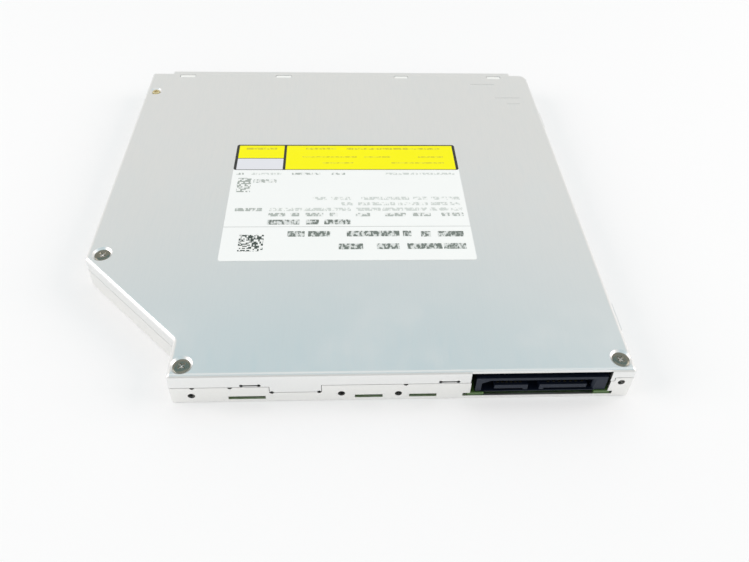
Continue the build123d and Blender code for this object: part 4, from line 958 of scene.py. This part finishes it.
def printed_field(name, xs, ys, bottom, corner):
    """A plate of ink between two xs and two ys, in mm, with rounded corners."""
    bpy.ops.object.select_all(action="DESELECT")
    middle = Vector((sum(xs) / 2 * MM, sum(ys) / 2 * MM, bottom + INK / 2))
    bpy.ops.mesh.primitive_cube_add(size=1, location=middle)
    field = bpy.context.object
    field.name = name
    field.scale = ((xs[1] - xs[0]) * MM, (ys[1] - ys[0]) * MM, INK)
    bpy.ops.object.transform_apply(location=True, rotation=False, scale=True)
    bpy.ops.object.mode_set(mode="EDIT")
    bpy.ops.mesh.select_all(action="DESELECT")
    bpy.ops.object.mode_set(mode="OBJECT")
    points = field.data.vertices
    for edge in field.data.edges:
        low, high = (points[index].co.z for index in edge.vertices)
        edge.select = abs(high - low) > INK / 2
    bpy.ops.object.mode_set(mode="EDIT")
    bpy.ops.mesh.select_mode(type="EDGE")
    bpy.ops.mesh.bevel(offset=corner * MM, segments=4, affect="EDGES")
    bpy.ops.object.mode_set(mode="OBJECT")
    return field


# %% Inks
PRINT_BLACK = label_film("print_black", (0.020, 0.022, 0.018), (0.010, 0.011, 0.010))
PRINT_YELLOW = label_film("print_yellow", (0.98, 0.93, 0.002), (0.93, 0.88, 0.002))
tint_gleam(PRINT_YELLOW, (1.0, 0.96, 0.3), 0.25)
PRINT_LAVENDER = label_film("print_lavender", (0.78, 0.79, 0.83), (0.74, 0.75, 0.80))
print("Inks ready")

# %% The band
LABEL_LOW, LABEL_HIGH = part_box("rating_label")
LEFT, RIGHT = LABEL_LOW.x / MM, LABEL_HIGH.x / MM
FAR = LABEL_HIGH.y / MM
FILM_TOP = LABEL_HIGH.z
BAND_NEAR = 8.0
FRAME_SIDE = 0.8
FRAME_FAR = 0.5
FRAME_NEAR = 0.22
DIVIDER = -17.0
DIVIDER_WIDTH = 0.75
CELL_SPLIT = 13.5
THIN_LINE = 0.25

band = printed_field("label_band", (LEFT, RIGHT), (BAND_NEAR, FAR), FILM_TOP, 0.7)
finish_piece(band, PRINT_BLACK)

left_cell = (LEFT + FRAME_SIDE, DIVIDER - DIVIDER_WIDTH / 2)
right_cell = (DIVIDER + DIVIDER_WIDTH / 2, RIGHT - FRAME_SIDE)
cell_near = BAND_NEAR + FRAME_NEAR
cell_far = FAR - FRAME_FAR
upper_rows = (CELL_SPLIT + THIN_LINE / 2, cell_far)
lower_rows = (cell_near, CELL_SPLIT - THIN_LINE / 2)
cells_on = FILM_TOP + INK
yellow = join_pieces(
    "label_yellow_fields",
    [
        printed_field("left_yellow", left_cell, upper_rows, cells_on, 0.15),
        printed_field("right_yellow", right_cell, (cell_near, cell_far), cells_on, 0.15),
    ],
)
finish_piece(yellow, PRINT_YELLOW)
pale_cell = printed_field("label_pale_field", left_cell, lower_rows, cells_on, 0.1)
finish_piece(pale_cell, PRINT_LAVENDER)
print("Band from y", BAND_NEAR, "to", round(FAR, 2), "mm")

# %% [markdown]
# The small print is too small to read on the real label, so it becomes rows of plain bars: a
# row has a height, a tone and the stretches that are inked. The ink's colour is broken up by a
# fine noise, so that a bar has the uneven grey of tiny print seen from arm's length.

# %% Small print


def broken_ink(name, ink, paper, coverage):
    """Ink that is broken up by fine blots, as small print looks from afar."""
    material, tree, shader, place = new_material(name, 0.42)
    squeeze = add_node(tree, "ShaderNodeMapping")
    squeeze.inputs["Scale"].default_value = (1.0, 0.55, 1.0)
    tree.links.new(place, squeeze.inputs["Vector"])
    blots = add_node(tree, "ShaderNodeTexNoise")
    blots.inputs["Scale"].default_value = 1500.0
    blots.inputs["Detail"].default_value = 1.0
    tree.links.new(squeeze.outputs["Vector"], blots.inputs["Vector"])
    inked = add_node(tree, "ShaderNodeMapRange")
    inked.inputs["From Min"].default_value = coverage - 0.07
    inked.inputs["From Max"].default_value = coverage + 0.07
    tree.links.new(blots.outputs["Fac"], inked.inputs["Value"])
    two_tones(tree, inked.outputs["Result"], ink, paper, shader.inputs["Base Color"])
    between(tree, blots.outputs["Fac"], 0.38, 0.46, shader.inputs["Roughness"])
    return material


FAINT_INK = broken_ink("faint_ink", (0.62, 0.66, 0.63), (0.90, 0.92, 0.90), 0.52)
PLAIN_INK = broken_ink("plain_ink", (0.42, 0.46, 0.43), (0.86, 0.88, 0.86), 0.52)
BOLD_INK = broken_ink("bold_ink", (0.16, 0.19, 0.17), (0.72, 0.75, 0.73), 0.52)
OLIVE_INK = broken_ink("olive_ink", (0.62, 0.56, 0.004), (0.86, 0.82, 0.005), 0.50)

PRINT_ROWS = (
    ("faint", 6.2, 0.9, ((-26.2, -17.6), (11.9, 32.0))),
    ("plain", 6.2, 0.9, ((-30.2, -28.2), (-14.6, -6.5), (-3.5, 0.5))),
    ("plain", 2.9, 1.5, ((-25.2, -18.8),)),
    ("faint", -4.8, 1.3, ((-8.4, -4.6), (-3.5, 2.3), (4.8, 18.0), (19.1, 23.2), (24.1, 32.0))),
    ("faint", -7.1, 1.3, ((-0.7, 2.5), (3.9, 14.0), (14.8, 23.0), (23.8, 32.2))),
    ("faint", -9.4, 1.3, ((-20.0, 1.9), (3.3, 10.0), (10.4, 22.5), (23.3, 32.2))),
    ("plain", -9.4, 1.3, ((-29.1, -21.9),)),
    ("plain", -11.5, 1.4, ((-20.1, -15.4), (-14.3, -11.9), (-10.2, -5.5), (-3.8, -1.6))),
    ("plain", -11.6, 1.4, ((3.2, 7.0), (11.0, 16.6), (18.5, 23.3), (26.2, 32.2))),
    ("bold", -14.5, 1.9, ((-20.2, -11.6), (-10.0, -6.6), (-5.2, 1.7))),
    ("bold", -19.1, 2.1, ((-14.6, -10.2), (-9.3, -3.6), (0.7, 14.4), (15.3, 17.5))),
    ("bold", -19.3, 2.1, ((20.0, 22.6), (24.4, 31.2))),
    ("bold", -23.9, 2.1, ((-1.4, 4.8), (8.3, 14.1), (16.1, 25.1), (25.5, 31.3))),
    ("olive", 18.3, 0.9, ((-28.5, -19.5), (-11.0, -2.0), (1.0, 29.0))),
    ("olive", 14.2, 0.5, ((-12.0, 4.0), (6.0, 14.0), (22.0, 29.5))),
    ("olive", 11.3, 0.5, ((-6.0, 3.0), (14.0, 29.5))),
)
INKS = {"faint": FAINT_INK, "plain": PLAIN_INK, "bold": BOLD_INK, "olive": OLIVE_INK}
BAR_CORNER = 0.15

for tone, ink in INKS.items():
    bottom = FILM_TOP + (2 * INK if tone == "olive" else 0)
    bars = [
        printed_field(tone + "_bar", span, (middle - tall / 2, middle + tall / 2), bottom, BAR_CORNER)
        for row_tone, middle, tall, spans in PRINT_ROWS
        if row_tone == tone
        for span in spans
    ]
    finish_piece(join_pieces("label_" + tone + "_print", bars), ink)
    print("Bars of", tone, "print:", len(bars))

# %% [markdown]
# A thin rule crosses the label, and two square fields of fine speckle sit at its left side. The
# speckle is a grid of small squares, each black or white by chance.

# %% Rule and square fields


def speckle(name, squares_per_metre, ink, paper):
    """Small squares that are inked or bare by chance."""
    material, tree, shader, place = new_material(name, 0.42)
    finer = add_node(tree, "ShaderNodeVectorMath", operation="SCALE")
    finer.inputs["Scale"].default_value = squares_per_metre
    tree.links.new(place, finer.inputs[0])
    cells = add_node(tree, "ShaderNodeVectorMath", operation="FLOOR")
    tree.links.new(finer.outputs["Vector"], cells.inputs[0])
    flat = add_node(tree, "ShaderNodeSeparateXYZ")
    tree.links.new(cells.outputs["Vector"], flat.inputs[0])
    square = add_node(tree, "ShaderNodeCombineXYZ")
    tree.links.new(flat.outputs["X"], square.inputs["X"])
    tree.links.new(flat.outputs["Y"], square.inputs["Y"])
    chance = add_node(tree, "ShaderNodeTexWhiteNoise")
    tree.links.new(square.outputs["Vector"], chance.inputs["Vector"])
    inked = add_node(tree, "ShaderNodeMath", operation="GREATER_THAN")
    inked.inputs[1].default_value = 0.5
    tree.links.new(chance.outputs["Value"], inked.inputs[0])
    two_tones(tree, inked.outputs["Value"], ink, paper, shader.inputs["Base Color"])
    between(tree, chance.outputs["Value"], 0.38, 0.46, shader.inputs["Roughness"])
    return material


BARE_PAPER = (0.88, 0.90, 0.88)
RULE_GREY = label_film("rule_grey", (0.50, 0.52, 0.50), (0.44, 0.46, 0.44))
FAINT_SPECKLE = speckle("faint_speckle", 2000.0, (0.36, 0.40, 0.37), BARE_PAPER)
DARK_SPECKLE = speckle("dark_speckle", 2600.0, (0.05, 0.07, 0.06), BARE_PAPER)
rule = printed_field("label_rule", (LEFT, RIGHT), (-16.4, -16.25), FILM_TOP, 0.03)
finish_piece(rule, RULE_GREY)
small_square = printed_field("label_small_square", (-29.6, -25.8), (-2.0, 4.3), FILM_TOP, 0.1)
finish_piece(small_square, FAINT_SPECKLE)
large_square = printed_field("label_large_square", (-26.9, -20.6), (-25.5, -19.4), FILM_TOP, 0.1)
finish_piece(large_square, DARK_SPECKLE)
print("Square fields ready")
